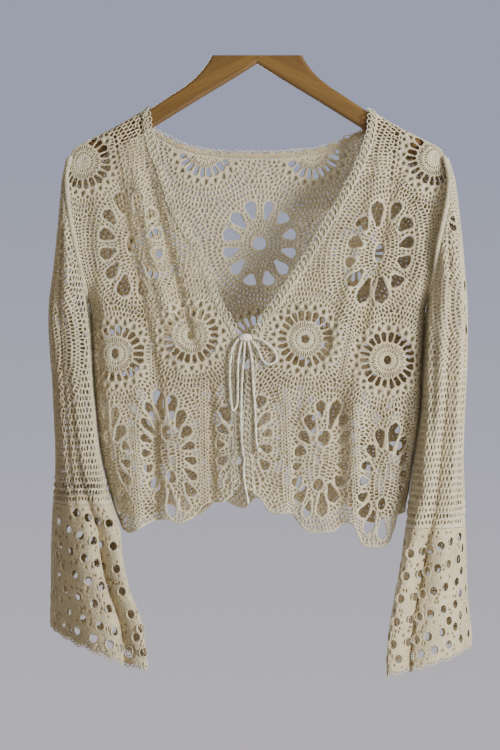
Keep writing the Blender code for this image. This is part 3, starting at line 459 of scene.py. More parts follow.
# Sets a node's inputs, each to a value or from another node's output
def wire(tree, node, inputs):
    for key, value in inputs.items():
        if isinstance(value, bpy.types.NodeSocket):
            tree.links.new(value, node.inputs[key])
        else:
            node.inputs[key].default_value = value

# A function that adds nodes to one tree and gives back the output that is used
def nodeMaker(tree):
    def make(kind, output, inputs, **settings):
        node = tree.nodes.new(kind)
        for key, value in settings.items():
            setattr(node, key, value)
        wire(tree, node, inputs)
        return node.outputs[output] if output else node
    def sums(operation, *values):
        return make("ShaderNodeMath", "Value", dict(enumerate(values)), operation=operation)
    return make, sums

def newTree(name, kind, takes, gives):
    tree = bpy.data.node_groups.new(name, kind)
    for flow, sockets in (("INPUT", takes), ("OUTPUT", gives)):
        for label, socket in sockets:
            tree.interface.new_socket(label, in_out=flow, socket_type="NodeSocket" + socket)
    return tree, tree.nodes.new("NodeGroupInput").outputs, tree.nodes.new("NodeGroupOutput")

def newGeometryTree(name, sizes):
    takes = (("Geometry", "Geometry"), *sizes, ("Finish", "Material"))
    return newTree(name, "GeometryNodeTree", takes, (("Geometry", "Geometry"),))

# Every geometry tree ends by making its instances real and giving them their material
def endTree(tree, shape, finish, give):
    make, _ = nodeMaker(tree)
    real = make("GeometryNodeRealizeInstances", "Geometry", {"Geometry": shape})
    done = make("GeometryNodeSetMaterial", "Geometry", {"Geometry": real, "Material": finish})
    wire(tree, give, {"Geometry": done})
    return tree

# Runs a tree on an object and keeps the result as a plain mesh under the same name
def bakeTree(thing, tree, values):
    modifier = thing.modifiers.new(tree.name, "NODES")
    modifier.node_group = tree
    for item in tree.interface.items_tree:
        if item.item_type == "SOCKET" and item.in_out == "INPUT" and item.name in values:
            modifier[item.identifier] = values[item.name]
    bpy.context.view_layer.update()
    graph = bpy.context.evaluated_depsgraph_get()
    mesh = bpy.data.meshes.new_from_object(thing.evaluated_get(graph))
    name = thing.name
    bpy.data.objects.remove(thing, do_unlink=True)
    mesh.name = name
    mesh.shade_smooth()
    return newObject(name, mesh)

# Tones of the cotton: painted light on a yarn's crown, painted shade between yarns, and painted
# shade on the far side of the cloth
cottonTones = {
    "lace": ((0.575, 0.53, 0.385), (0.50, 0.405, 0.24), (0.58, 0.46, 0.26)),
    "edging": ((0.65, 0.61, 0.46), (0.50, 0.41, 0.25), (0.52, 0.43, 0.26)),
    "cuff": ((0.575, 0.52, 0.365), (0.46, 0.36, 0.195), (0.50, 0.39, 0.21)),
    "tie": ((0.77, 0.735, 0.60), (0.55, 0.48, 0.34), (0.55, 0.48, 0.34)),
}
cottonLook = {
    "patchScale": 26.0,
    "twistScale": 900.0,
    "stitchScale": 400.0,
    "patch": (0.3, 0.7, 0.86, 1.08),  # each: from a noise's low and high to how dark and light
    "fleck": (0.25, 0.75, 0.93, 1.05),
    # painted shade in the valleys between the stitches' domes
    "valleyShade": (0.15, 0.65, 1.05, 0.82),
    "rough": (0.0, 1.0, 0.78, 0.95),
    "twist": 0.6,  # height of the yarn's twist and of a stitch's dome
    "dome": -3.0,
    "bump": {"Strength": 0.5, "Distance": 0.0004},
    "sheen": {"Sheen Weight": 0.25, "Sheen Roughness": 0.5, "Specular IOR Level": 0.25},
}

def ranged(make, value, low, high, toLow, toHigh):
    return make("ShaderNodeMapRange", "Result", {
        "Value": value, "From Min": low, "From Max": high, "To Min": toLow, "To Max": toHigh})

def mixed(make, factor, one, two):
    return make("ShaderNodeMix", "Result", {"Factor": factor, "A": one, "B": two},
                data_type="RGBA")

# Shared effect: cream cotton yarn with painted light on its crown and painted warm shade in the
# gaps, in folds and on its inside
def makeYarnGroup():
    takes = [(label, "Color") for label in ("Light", "Shade", "Inside")]
    takes += [(label, "Float") for label in ("Depth", "Inward", "Paintedshade", "Patch Scale",
                                             "Twist Scale", "Stitch Scale")]
    takes.append(("Place", "Vector"))
    gives = (("Color", "Color"), ("Roughness", "Float"), ("Height", "Float"))
    group, take, give = newTree("cottonYarn", "ShaderNodeTree", takes, gives)
    make, sums = nodeMaker(group)
    def texture(kind, output, scale, values, **settings):
        spread = {"Vector": take["Place"], "Scale": take[scale], **values}
        return make("ShaderNodeTex" + kind, output, spread, **settings)
    patch = texture("Noise", "Fac", "Patch Scale", {"Detail": 3.0, "Roughness": 0.6})
    fibre = texture("Noise", "Fac", "Twist Scale", {"Detail": 2.0, "Roughness": 0.7})
    twist = texture("Wave", "Fac", "Twist Scale", {"Distortion": 3.0, "Detail": 1.0},
                    bands_direction="DIAGONAL")
    stitch = texture("Voronoi", "Distance", "Stitch Scale", {"Randomness": 0.75})
    # painted light on the yarn's crown, turning to painted shade towards its gaps by the depth
    # attribute
    crown = mixed(make, take["Depth"], take["Light"], take["Shade"])
    # painted shade on the cloth's inner side, in the Inside Shade tone
    insideShade = mixed(make, take["Inward"], crown, take["Inside"])
    # painted shade in folds and creases pulls the colour towards the Shade tone
    shadeMix = mixed(make, take["Paintedshade"], insideShade, take["Shade"])
    fleck = ranged(make, fibre, *cottonLook["fleck"])
    # random fibre flecks, times painted shade in the valleys between stitch domes
    fleckAndValleyShade = sums("MULTIPLY", fleck, ranged(make, stitch, *cottonLook["valleyShade"]))
    level = sums("MULTIPLY", ranged(make, patch, *cottonLook["patch"]), fleckAndValleyShade)
    tone = make("ShaderNodeVectorMath", "Vector", {"Vector": shadeMix, "Scale": level},
                operation="SCALE")
    rise = sums("MULTIPLY_ADD", twist, cottonLook["twist"], fibre)
    wire(group, give, {"Color": tone, "Roughness": ranged(make, fibre, *cottonLook["rough"]),
                       "Height": sums("MULTIPLY_ADD", stitch, cottonLook["dome"], rise)})
    return group

def newMaterial(name, values):
    made = bpy.data.materials.new(name)
    made.use_nodes = True
    shader = made.node_tree.nodes["Principled BSDF"]
    wire(made.node_tree, shader, values)
    return made, made.node_tree, shader

def finishMaterial(made, tree, shader, color, roughness, height, bump):
    normal = nodeMaker(tree)[0]("ShaderNodeBump", "Normal", {"Height": height, **bump})
    wire(tree, shader, {"Base Color": color, "Roughness": roughness, "Normal": normal})
    return made

def cottonMaterial(name, tones, group):
    made, tree, shader = newMaterial(name, cottonLook["sheen"])
    make, _ = nodeMaker(tree)
    values = {label: (*tone, 1.0) for label, tone in zip(("Light", "Shade", "Inside"), tones)}
    for label in ("Depth", "Inward", "Paintedshade"):
        values[label] = make("ShaderNodeAttribute", "Fac", {}, attribute_name=label.lower())
    values.update({"Patch Scale": cottonLook["patchScale"], "Twist Scale": cottonLook["twistScale"],
                   "Stitch Scale": cottonLook["stitchScale"],
                   "Place": make("ShaderNodeTexCoord", "Object", {})})
    yarn = make("ShaderNodeGroup", None, {}, node_tree=group)
    wire(tree, yarn, values)
    return finishMaterial(made, tree, shader, yarn.outputs["Color"], yarn.outputs["Roughness"],
                          yarn.outputs["Height"], cottonLook["bump"])

# Light varnished wood with its grain along each arm and a fine mitre line where the arms meet
woodLook = {
    "light": (0.160, 0.085, 0.015),
    "dark": (0.094, 0.045, 0.008),
    "slope": 0.52,  # of the arms
    "stretch": 0.06,  # of the grain along them
    "grain": {"Scale": 420.0, "Detail": 4.0, "Roughness": 0.65, "Distortion": 0.3},
    "broad": {"Scale": 60.0, "Detail": 2.0},
    "spread": (0.12, 0.40, 0.0, 1.0),
    "mitre": (0.0, 0.0004, 0.45, 1.0),
    "rough": (0.0, 1.0, 0.34, 0.5),
    "varnish": {"Coat Weight": 0.25, "Coat Roughness": 0.3},
    "bump": {"Strength": 0.25, "Distance": 0.0003},
}

def woodMaterial():
    made, tree, shader = newMaterial("varnishedWood", woodLook["varnish"])
    make, sums = nodeMaker(tree)
    place = make("ShaderNodeTexCoord", "Object", {})
    parts = make("ShaderNodeSeparateXYZ", None, {"Vector": place}).outputs
    side = sums("ABSOLUTE", parts["X"])
    across = sums("MULTIPLY_ADD", side, woodLook["slope"], parts["Z"])
    along = sums("MULTIPLY", side, woodLook["stretch"])
    joined = make("ShaderNodeCombineXYZ", "Vector", {"X": along, "Y": parts["Y"], "Z": across})
    grain = make("ShaderNodeTexNoise", "Fac", {"Vector": joined, **woodLook["grain"]})
    broad = make("ShaderNodeTexNoise", "Fac", {"Vector": joined, **woodLook["broad"]})
    spread = ranged(make, sums("MULTIPLY", grain, broad), *woodLook["spread"])
    tone = mixed(make, spread, (*woodLook["dark"], 1.0), (*woodLook["light"], 1.0))
    mitre = ranged(make, side, *woodLook["mitre"])
    lined = make("ShaderNodeVectorMath", "Vector", {"Vector": tone, "Scale": mitre},
                 operation="SCALE")
    rough = ranged(make, grain, *woodLook["rough"])
    return finishMaterial(made, tree, shader, lined, rough, grain, woodLook["bump"])

# Lace is made as one closed yarn mesh: every stitch hole or stitch is a site in the cloth's own
# coordinates, the lines midway between sites are the yarn, and the sites off the cloth stay empty
laceLook = {
    "pitch": 3.9,  # between stitches in a row
    "row": 5.5,  # between rows
    "yarn": 0.72,  # half thickness
    "edgeStep": 2.6,
    "edgeReach": 0.5,
    "edgeRoom": 1.9,
    "edgeNext": 0.8,  # room of a site on an edge
    "edgeFar": 0.75,  # share of its reach that it keeps from any other edge
    "slope": 0.4,  # an edge's and the cloth's direction is taken over this distance
    "jitter": 0.42,
    "bend": 0.75,  # share of the way from a triangle's middle to its round centre
    "bendMost": 3.0,
    "along": 0.62,  # size of a stitch hole along and across its stitches
    "across": 0.44,
    "holeMost": 0.9,
    "uneven": (0.7, 1.18),  # how much the holes differ, and how slowly over the cloth
    "patchy": 0.2,
    "knobby": 0.1,
    "edgeThin": 0.72,  # yarn on the cloth's edge is this much thinner
    "knob": 0.62,  # height of a stitch without a hole, as a share of the yarn's round it
    "yarnShade": 0.6,  # painted shade on the lower of the two: yarn round a knob, or a plain stitch
    "stitchShade": 0.45,
}
flowerLook = {"rows": 7, "first": 2.8, "row": 0.92, "up": 0.84, "beside": 2.1, "narrow": 0.9,
              "lift": 0.15, "room": 2.5, "petalRoom": 2.7}
outerLook = {"rows": 8, "first": 3.0, "third": 0.72, "lift": 0.2, "room": 0.68, "overlap": 0.6}
netLook = {"row": 0.94, "room": 0.82, "fromMotif": 1.0}
empty = -1.0

# Slow changes over the cloth, from -1 to 1, so that the net differs from place to place
def patchy(points):
    x, z = points[:, 0], points[:, 1]
    one = np.sin(x * 0.083 + 1.7 * np.sin(z * 0.041))
    return one * np.sin(z * 0.061 + 1.3 * np.sin(x * 0.052 + 2.0))

# Whether points lie on the cloth, and how far they are from its edges and gaps
def measureCloth(points, loops):
    batch = 400
    starts = np.vstack(loops)
    ends = np.vstack([np.roll(loop, -1, axis=0) for loop in loops])
    step = ends - starts
    square = np.maximum((step ** 2).sum(axis=1), 1e-9)
    rise = np.where(np.abs(step[:, 1]) < 1e-9, 1e-9, step[:, 1])
    onCloth = np.zeros(len(points), bool)
    distance = np.zeros(len(points))
    for low in range(0, len(points), batch):
        part = points[low:low + batch, None, :]
        away = part - starts
        share = np.clip((away * step).sum(axis=2) / square, 0, 1)
        nearest = away - share[..., None] * step
        distance[low:low + batch] = np.sqrt((nearest ** 2).sum(axis=2)).min(axis=1)
        crosses = (starts[:, 1] > part[..., 1]) != (ends[:, 1] > part[..., 1])
        edge = starts[:, 0] + (part[..., 1] - starts[:, 1]) * step[:, 0] / rise
        onCloth[low:low + batch] = (crosses & (part[..., 0] < edge)).sum(axis=1) % 2 == 1
    return onCloth, distance

# Sites have: x, z, hole along, hole across, direction, raise, room
def siteRows(points, along, across, direction, lift, room):
    rows = np.zeros((len(points), 7))
    rows[:, :2] = points
    for column, value in enumerate((along, across, direction, lift, room), 2):
        rows[:, column] = value
    return rows

# Pairs of sites on both sides of every edge, so that the yarn ends on it
def edgeSites(loops, lift):
    look, kept = laceLook, []
    reach = look["edgeReach"]
    far = look["edgeFar"] * reach
    for loop in loops:
        closed = np.vstack([loop, loop[:1]])
        run = runAlong(closed)
        count = max(8, int(round(run[-1] / look["edgeStep"])))
        at = (np.arange(count) + 0.5) / count * run[-1]
        after, before = (alongLine((at + shift) % run[-1], run, closed)
                         for shift in (look["slope"], -look["slope"]))
        along = unit(after - before)
        aside = np.stack([-along[:, 1], along[:, 0]], axis=1) * reach
        middle = alongLine(at, run, closed)
        one, two = middle + aside, middle - aside
        oneOn, oneFar = measureCloth(one, loops)
        twoOn, twoFar = measureCloth(two, loops)
        good = (oneOn != twoOn) & (oneFar > far) & (twoFar > far)
        turn = np.arctan2(along[:, 1], along[:, 0])[good]
        for points, on in ((one[good], oneOn[good]), (two[good], twoOn[good])):
            hole = np.where(on, 0.0, empty)
            raised = np.where(on, lift, 0.0)
            kept.append(siteRows(points, hole, hole, turn, raised, look["edgeNext"]))
    return np.vstack(kept)

# Drops each site that comes closer to an earlier one than its room
def thinned(sites):
    cell = 6.0
    around = [(i, j) for i in (-1, 0, 1) for j in (-1, 0, 1)]
    taken = {}
    kept = []
    for index, (x, z, room) in enumerate(sites[:, (0, 1, 6)]):
        column, level = int(x // cell), int(z // cell)
        near = [spot for i, j in around for spot in taken.get((column + i, level + j), ())]
        if all((a - x) ** 2 + (b - z) ** 2 >= room * room for a, b in near):
            taken.setdefault((column, level), []).append((x, z))
            kept.append(index)
    return sites[kept]

# A ring of points round an oval, moved outwards, with the direction outwards at each
def ovalRing(motif, scale, offset, spacing=None, count=None, shift=0.0):
    radii = np.array([motif["rx"], motif["rz"]])
    if radii.min() * scale + offset < 1.5:
        return np.zeros((0, 2)), np.zeros(0)
    fine = np.linspace(0, 2 * np.pi, 361)
    ring = np.stack([np.cos(fine), np.sin(fine)], axis=1)
    outward = unit(ring / radii)
    oval = ring * (radii * scale) + offset * outward
    run = runAlong(oval)
    count = count or max(5, int(round(run[-1] / spacing)))
    at = (np.arange(count) + shift) / count * run[-1]
    points, out = alongLine(at, run, oval), alongLine(at, run, outward)
    return placed(points, motif), np.arctan2(out[:, 1], out[:, 0])

# Points round a motif's middle, leant and moved to their place on the cloth
def placed(points, motif):
    points[:, 0] += motif["x"] + motif["lean"] * points[:, 1]
    points[:, 1] += motif["z"]
    return points

# Distance outwards from a motif's own outer ring
def motifDistance(motif, points):
    z = points[:, 1] - motif["z"]
    x = points[:, 0] - motif["x"] - motif["lean"] * z
    size = np.sqrt((x / motif["rx"]) ** 2 + (z / motif["rz"]) ** 2)
    return (size - 1) * np.hypot(x, z) / np.maximum(size, 1e-6)

# Round wheels: a disc of radial stitches, a ring of open spokes and a ring of small fans round it
wheelLook = {"radius": 43.0, "spokes": 22}
wheelRings = (
    # radius, how many times the spokes, hole along, hole across, raise, room, shift
    (7.0, 1, 0.0, 0.0, 0.25, 1.0, 0.0),
    (10.8, 1, 0.24, 0.2, 0.3, 1.4, 0.5),
    (14.8, 2, 0.24, 0.3, 0.45, 1.4, 0.25),
    (26.8, 1, 0.96, 0.64, 0.0, 2.5, 0.0),
    (38.4, 1, 0.26, 0.16, 0.4, 2.4, 0.5),
    (42.0, 1, 0.42, 0.3, 0.2, 2.4, 0.0),
)

def wheelMotif(x, z):
    radius = wheelLook["radius"]
    return {"x": x, "z": z, "rx": radius, "rz": radius, "lean": 0.0, "sites": wheelSites}

def wheelSites(motif):
    base = dict(motif, rx=1.0, rz=1.0)
    found = []
    for radius, times, along, across, lift, room, shift in wheelRings:
        count = times * wheelLook["spokes"]
        points, turn = ovalRing(base, 1.0, radius - 1.0, count=count, shift=shift)
        found.append(siteRows(points, along, across, turn, lift, room))
    return found

def flowerMotif(row):
    names = ("x", "z", "rx", "rz", "gaps", "start", "lean", "eyes")
    return dict(zip(names, row), sites=flowerSites)

# Rows round the eyes of a flower, and two columns of stitches up each of its petals
def flowerSites(motif):
    look, inner = flowerLook, motif["start"]
    along, across = laceLook["along"], laceLook["across"]
    found = []
    for step in range(look["rows"]):
        offset = -look["first"] - step * laceLook["row"] * look["row"]
        points, turn = ovalRing(motif, inner, offset, laceLook["pitch"], shift=0.5 * (step % 2))
        found.append(siteRows(points, along, across, turn, look["lift"], look["room"]))
    for middle in petalAngles(motif, 0.0):
        tip = np.array([motif["rx"] * np.cos(middle), motif["rz"] * np.sin(middle)])
        run = tip * (1 - inner)
        length = np.linalg.norm(run)
        ahead = run / length
        aside = np.array([-ahead[1], ahead[0]])
        rows = []
        for step in np.arange(1.0, length + 3.0, laceLook["row"] * look["up"]):
            rows += [tip * inner + ahead * step + aside * reach
                     for reach in (-look["beside"], look["beside"])]
        turn = np.arctan2(ahead[1], ahead[0])
        found.append(siteRows(placed(np.array(rows), motif), along, across * look["narrow"], turn,
                              look["lift"], look["petalRoom"]))
    return found

# Rows of stitches that follow a motif outwards until its neighbour's rows begin
def outerSites(motif, pitch):
    found = []
    for step in range(outerLook["rows"]):
        offset = outerLook["first"] + step * pitch / laceLook["pitch"] * laceLook["row"]
        points, turn = ovalRing(motif, 1.0, offset, pitch, shift=0.5 * (step % 2))
        grow, lift = (1.0, 0.0) if step % 3 else (outerLook["third"], outerLook["lift"])
        found.append(siteRows(points, laceLook["along"] * grow, laceLook["across"] * grow, turn,
                              lift, pitch * outerLook["room"]))
    return found

def netSites(loops, pitch, tall):
    points = np.vstack(loops)
    low, high = points.min(axis=0), points.max(axis=0)
    rise = pitch / laceLook["pitch"] * laceLook["row"] * netLook["row"] * tall
    rows = []
    for row, z in enumerate(np.arange(low[1], high[1], rise)):
        x = np.arange(low[0] + (row % 2) * pitch / 2, high[0], pitch)
        rows.append(np.stack([x, np.full(len(x), z)], axis=1))
    return siteRows(np.vstack(rows), laceLook["along"], laceLook["across"], np.pi / 2, 0.0,
                    pitch * netLook["room"])

# A seam between motifs: a column of small holes between two columns of close stitches
seamLook = {"step": 3.9, "reach": 2.6, "hole": (0.6, 0.72), "wideHole": (0.8, 0.72),
            "pit": (0.24, 0.26), "lift": 0.2, "room": 2.0, "pitRoom": 1.6}

def seamSites(line):
    start, end, size = np.array(line[:2]), np.array(line[2:4]), line[4]
    length = np.linalg.norm(end - start)
    ahead = (end - start) / length
    aside = np.array([-ahead[1], ahead[0]])
    turn = np.arctan2(ahead[1], ahead[0])
    middle = start + np.arange(0, length, seamLook["step"] * size)[:, None] * ahead
    hole = seamLook["wideHole" if size > 1 else "hole"]
    rows = [siteRows(middle, *hole, turn, seamLook["lift"], seamLook["room"] * size)]
    for reach in (-seamLook["reach"] * size, seamLook["reach"] * size):
        beside = middle + aside * reach + ahead * seamLook["step"] * size / 2
        rows.append(siteRows(beside, *seamLook["pit"], turn, seamLook["lift"],
                             seamLook["pitRoom"]))
    return np.vstack(rows)

def panelSites(loops, motifs, pitch, lift=0.25, seams=(), tall=1.0):
    found = [seamSites(seam) for seam in seams]
    for motif in motifs:
        rows = np.vstack(motif["sites"](motif) + outerSites(motif, pitch))
        mine = motifDistance(motif, rows[:, :2])
        for rival in motifs:
            if rival is not motif:
                keep = mine < motifDistance(rival, rows[:, :2]) + outerLook["overlap"]
                rows, mine = rows[keep], mine[keep]
        found.append(rows)
    net = netSites(loops, pitch, tall)
    for motif in motifs:
        net = net[motifDistance(motif, net[:, :2]) > netLook["fromMotif"]]
    rows = np.vstack(found + [net])
    onCloth, distance = measureCloth(rows[:, :2], loops)
    rows = rows[onCloth & (distance > laceLook["edgeRoom"])]
    return np.vstack([thinned(edgeSites(loops, lift)), thinned(rows)])

# Places on a hung piece, with the directions across it and out of it
def layOn(surface, points, facing):
    step = laceLook["slope"]
    across = surface(points + (step, 0)) - surface(points - (step, 0))
    up = surface(points + (0, step)) - surface(points - (0, step))
    return surface(points), unit(across), unit(np.cross(across, up) * facing)

# Triangles between the sites, and for each a corner of the yarn near its round centre
def yarnCorners(flat, faces):
    a, b, c = (flat[faces[:, i]] for i in range(3))
    ab, ac = b - a, c - a
    twice = 2 * (ab[:, 0] * ac[:, 1] - ab[:, 1] * ac[:, 0])
    twice = np.where(np.abs(twice) < 1e-9, 1e-9, twice)
    abSquare, acSquare = (ab ** 2).sum(axis=1), (ac ** 2).sum(axis=1)
    centre = np.stack([ac[:, 1] * abSquare - ab[:, 1] * acSquare,
                       ab[:, 0] * acSquare - ac[:, 0] * abSquare], axis=1)
    middle = (a + b + c) / 3
    shift = (a + centre / twice[:, None] - middle) * laceLook["bend"]
    length = np.maximum(np.linalg.norm(shift, axis=1), 1e-9)
    return middle + shift * np.minimum(1, laceLook["bendMost"] / length)[:, None]

# The triangles round every site in order, with the sites across from them
def siteLoops(faces):
    follow, third, start = {}, {}, {}
    for index, (i, j, k) in enumerate(faces):
        for one, two, other in ((i, j, k), (j, k, i), (k, i, j)):
            follow[(one, two)] = index
            third[(index, one)] = other
            start.setdefault(one, index)
    def around(site):
        loop, neighbours = [], []
        here = start.get(site)
        while here is not None and len(loop) <= 40:
            loop.append(here)
            neighbours.append(third[(here, site)])
            here = follow.get((site, neighbours[-1]))
            if here == loop[0]:
                return loop, neighbours
        return [], []
    return around

# Builds the yarn mesh of a piece from its sites and lays it on the hung cloth's surface
def laceMesh(name, sites, surface, facing, yarn=laceLook["yarn"], paintedshade=None, insideShade=None,
             knob=laceLook["knob"]):
    rng = np.random.default_rng(len(name) * 101 + len(sites))
    loose = laceLook["jitter"] * (sites[:, 6:7] > 2)
    places = sites[:, :2] + rng.normal(0, 1, (len(sites), 2)) * loose
    found = delaunay_2d_cdt([tuple(place) for place in places], [], [], 0, 1e-6, True)
    order = np.array([ids[0] for ids in found[3]])
    flat, rows = places[order], sites[order]
    solid = rows[:, 2] >= 0
    uneven = rng.uniform(*laceLook["uneven"], (len(rows), 2))
    uneven *= (1 + laceLook["patchy"] * patchy(flat))[:, None]
    faces = np.array([tuple(face) for face in found[2]])
    a, b, c = (flat[faces[:, i]] for i in range(3))
    twice = (b[:, 0] - a[:, 0]) * (c[:, 1] - a[:, 1]) - (b[:, 1] - a[:, 1]) * (c[:, 0] - a[:, 0])
    faces[twice < 0] = faces[twice < 0][:, ::-1]
    corner = yarnCorners(flat, faces)
    around = siteLoops(faces)

    lift = np.where(solid, rows[:, 5], 0.0)
    height = yarn + lift[faces].mean(axis=1) + rng.normal(0, laceLook["knobby"], len(faces))
    height *= np.where(solid[faces].all(axis=1), 1.0, laceLook["edgeThin"])
    count = len(faces)
    rounded = knob >= 1  # stitches without a hole stand out as knobs, and the yarn between sinks and gets painted shade
    points = [corner, corner]
    rises = [height, -height]
    depthShades = [np.full(2 * count, laceLook["yarnShade"] if rounded else 0.0)]
    inwards = [np.zeros(count), np.ones(count)]
    total = 2 * count
    polygons = []
    for site in np.flatnonzero(solid):
        loop, neighbours = around(site)
        size = len(loop)
        if size < 3:
            continue
        after = loop[1:] + loop[:1]
        hub = corner[loop].mean(axis=0)
        along, across, turn = rows[site, 2:5]
        along = min(along * uneven[site, 0], laceLook["holeMost"])
        across = across * uneven[site, 1]
        if along > 0:
            axis = np.array([np.cos(turn), np.sin(turn)])
            aside = np.array([-axis[1], axis[0]])
            away = corner[loop] - hub
            points.append(hub + np.outer(away @ axis * along, axis)
                          + np.outer(away @ aside * across, aside))
            rises.append(np.zeros(size))
            depthShades.append(np.ones(size))
            inwards.append(np.full(size, 0.5))
            for i, (p, q) in enumerate(zip(loop, after)):
                r, s = total + i, total + (i + 1) % size
                polygons += [(p, q, s, r), (q + count, p + count, r, s)]
            total += size
        else:
            rise = height[loop].mean() * knob
            points.append(np.array([hub, hub]))
            rises.append(np.array([rise, -rise]))
            depthShades.append(np.full(2, 0.0 if rounded else laceLook["stitchShade"]))
            inwards.append(np.array([0.0, 1.0]))
            for p, q in zip(loop, after):
                polygons += [(p, q, total), (q + count, p + count, total + 1)]
            total += 2
        for p, q, other in zip(loop, after, neighbours):
            if not solid[other]:
                polygons.append((q, p, p + count, q + count))
    points, rises = np.vstack(points), np.concatenate(rises)
    depthShades, inwards = np.concatenate(depthShades), np.concatenate(inwards)

    place, _, normal = layOn(surface, points, facing)
    place = (place + normal * rises[:, None]) * mm
    used = np.unique(np.concatenate([np.array(polygon) for polygon in polygons]))
    index = np.full(len(points), -1)
    index[used] = np.arange(len(used))
    polygons = [tuple(index[v] for v in polygon[::facing]) for polygon in polygons]
    mesh = bpy.data.meshes.new(name)
    mesh.from_pydata(place[used].tolist(), [], polygons)
    # amount of painted shade from the piece's own function: in its folds, or even on a border strip
    shadeMix = np.zeros(len(points)) if paintedshade is None else paintedshade(points)
    # how much of the inner side's painted shade each place gets
    if insideShade is not None:
        inwards = inwards * insideShade(points)
    for label, values in (("depth", depthShades), ("inward", inwards), ("paintedshade", shadeMix)):
        addLayer(mesh, label, values[used])
    mesh.shade_smooth()
    triangles = sum(len(polygon) - 2 for polygon in polygons)
    print(name, len(sites), "sites,", triangles, "triangles")
    return newObject(name, mesh)

def addLayer(mesh, label, values, kind="FLOAT", field="value"):
    layer = mesh.attributes.new(label, kind, "POINT")
    layer.data.foreach_set(field, np.asarray(values, np.float32).ravel())

# Sleeves and cuffs in true widths: how far round each height an angle lies, and back
sleeveHeights = np.arange(-740.0, -104.0, 12.0)
sleeveAngles = np.radians(np.arange(0, 181, 3.0))

def sleeveArcs(side):
    outer, inner, depth, _ = sleeveRow(side, sleeveHeights)
    reach = (outer - inner) / (1 - np.cos(seamAngle(sleeveHeights)))
    pace = np.hypot(reach[:, None] * np.sin(sleeveAngles), depth[:, None] * np.cos(sleeveAngles))
    step = (pace[:, 1:] + pace[:, :-1]) / 2 * np.diff(sleeveAngles)
    return np.hstack([np.zeros((len(sleeveHeights), 1)), np.cumsum(step, axis=1)])

arcTables = {side: sleeveArcs(side) for side in hands}

def levelShare(z):
    at = (z - sleeveHeights[0]) / (sleeveHeights[1] - sleeveHeights[0])
    at = np.clip(at, 0, len(sleeveHeights) - 1.001)
    low = at.astype(int)
    return low, at - low

def angleToArc(side, angle, z):
    table = arcTables[side]
    low, share = levelShare(np.atleast_1d(z))
    angle = np.broadcast_to(np.atleast_1d(angle), low.shape)
    found = []
    for row, part, turn in zip(low, share, angle):
        line = table[row] * (1 - part) + table[row + 1] * part
        found.append(np.sign(turn) * np.interp(abs(turn), sleeveAngles, line))
    return np.array(found)

def arcToAngle(side, arc, z):
    table = arcTables[side]
    low, share = levelShare(z)
    line = table[low] * (1 - share)[:, None] + table[low + 1] * share[:, None]
    size = np.abs(arc)
    column = np.clip((line < size[:, None]).sum(axis=1) - 1, 0, line.shape[1] - 2)
    at = np.arange(len(line))
    first, last = line[at, column], line[at, column + 1]
    part = np.clip((size - first) / np.maximum(last - first, 1e-9), 0, 1)
    return np.sign(arc) * (sleeveAngles[column] + part * (sleeveAngles[1] - sleeveAngles[0]))

# Finer creases of the sleeves: angle at the top and foot, heights, half width, and how far out
sleeveCreases = {
    "left": ((142, 130, -240, -500, 8, 4.6), (66, 60, -150, -560, 9, -5),
             (88, 104, -170, -600, 8, 3.6), (98, 108, -470, -900, 9, -7),
             (72, 78, -480, -900, 12, 3), (130, 138, -480, -900, 12, 3),
             (-60, -84, -170, -640, 10, 4), (-112, -120, -230, -560, 9, -4)),
    "right": ((150, 116, -230, -520, 8, 4.8), (92, 84, -160, -600, 9, -5),
              (60, 52, -170, -560, 8, 3.6), (94, 96, -490, -900, 9, -7),
              (122, 126, -500, -900, 12, 3), (30, 34, -200, -700, 8, -3),
              (-64, -80, -170, -640, 10, 4), (-110, -124, -230, -560, 9, -4)),
}
creaseFade = {"top": 0.2, "foot": 0.25}
# Cloth bunched just above a cuff, and the warm shade down the outer side of the sleeves
sleeveBunch = {
    "left": {"out": 1.5, "top": 42.0, "wave": 9.0},
    "right": {"out": 1.0, "top": 46.0, "wave": 11.0},
    "fade": {"low": 0.15, "top": 0.5},
    "slant": 0.035,
    "sway": 1.2,
}
sleeveShade = {
    "left": {"angle": 8, "width": 46, "deep": 0.62},
    "right": {"angle": -10, "width": 26, "deep": 0.4},
    "from": -170,
    "over": 60,
    "most": 0.8,
    "foldNarrow": 0.7,
    "foldDeep": 1.3,
    "creaseDeep": 0.09,
}

def creaseHeight(side, angle, z):
    lift = np.zeros_like(z)
    for start, end, top, low, width, out in sleeveCreases[side]:
        share = (top - z) / (top - low)
        middle = start + (end - start) * np.clip(share, 0, 1)
        fade = smooth(share / creaseFade["top"]) * smooth((1 - share) / creaseFade["foot"])
        lift += out * fade * np.exp(-(((angle - middle) / width) ** 2))
    bunch, fade = sleeveBunch[side], sleeveBunch["fade"]
    above = (z - cuffSeam[side]) / bunch["top"]
    window = smooth(above / fade["low"]) * smooth((1 - above) / fade["top"])
    sway = sleeveBunch["sway"] * np.sin(np.radians(2 * angle))
    ripple = np.sin(2 * np.pi * z / bunch["wave"] + sleeveBunch["slant"] * angle + sway)
    return lift + bunch["out"] * window * ripple

def sleeveCloth(side):
    def surface(points):
        z = points[:, 1]
        angle = arcToAngle(side, points[:, 0], z)
        place = sleeveSurface(np.stack([angle * sleeveRadius, z], axis=1), side)
        turned = angle + np.radians(sleeveRow(side, z)[3])
        outward = np.stack([hands[side] * np.cos(turned), -np.sin(angle), np.zeros(len(z))], axis=1)
        return place + outward * creaseHeight(side, np.degrees(angle), z)[:, None]
    return surface

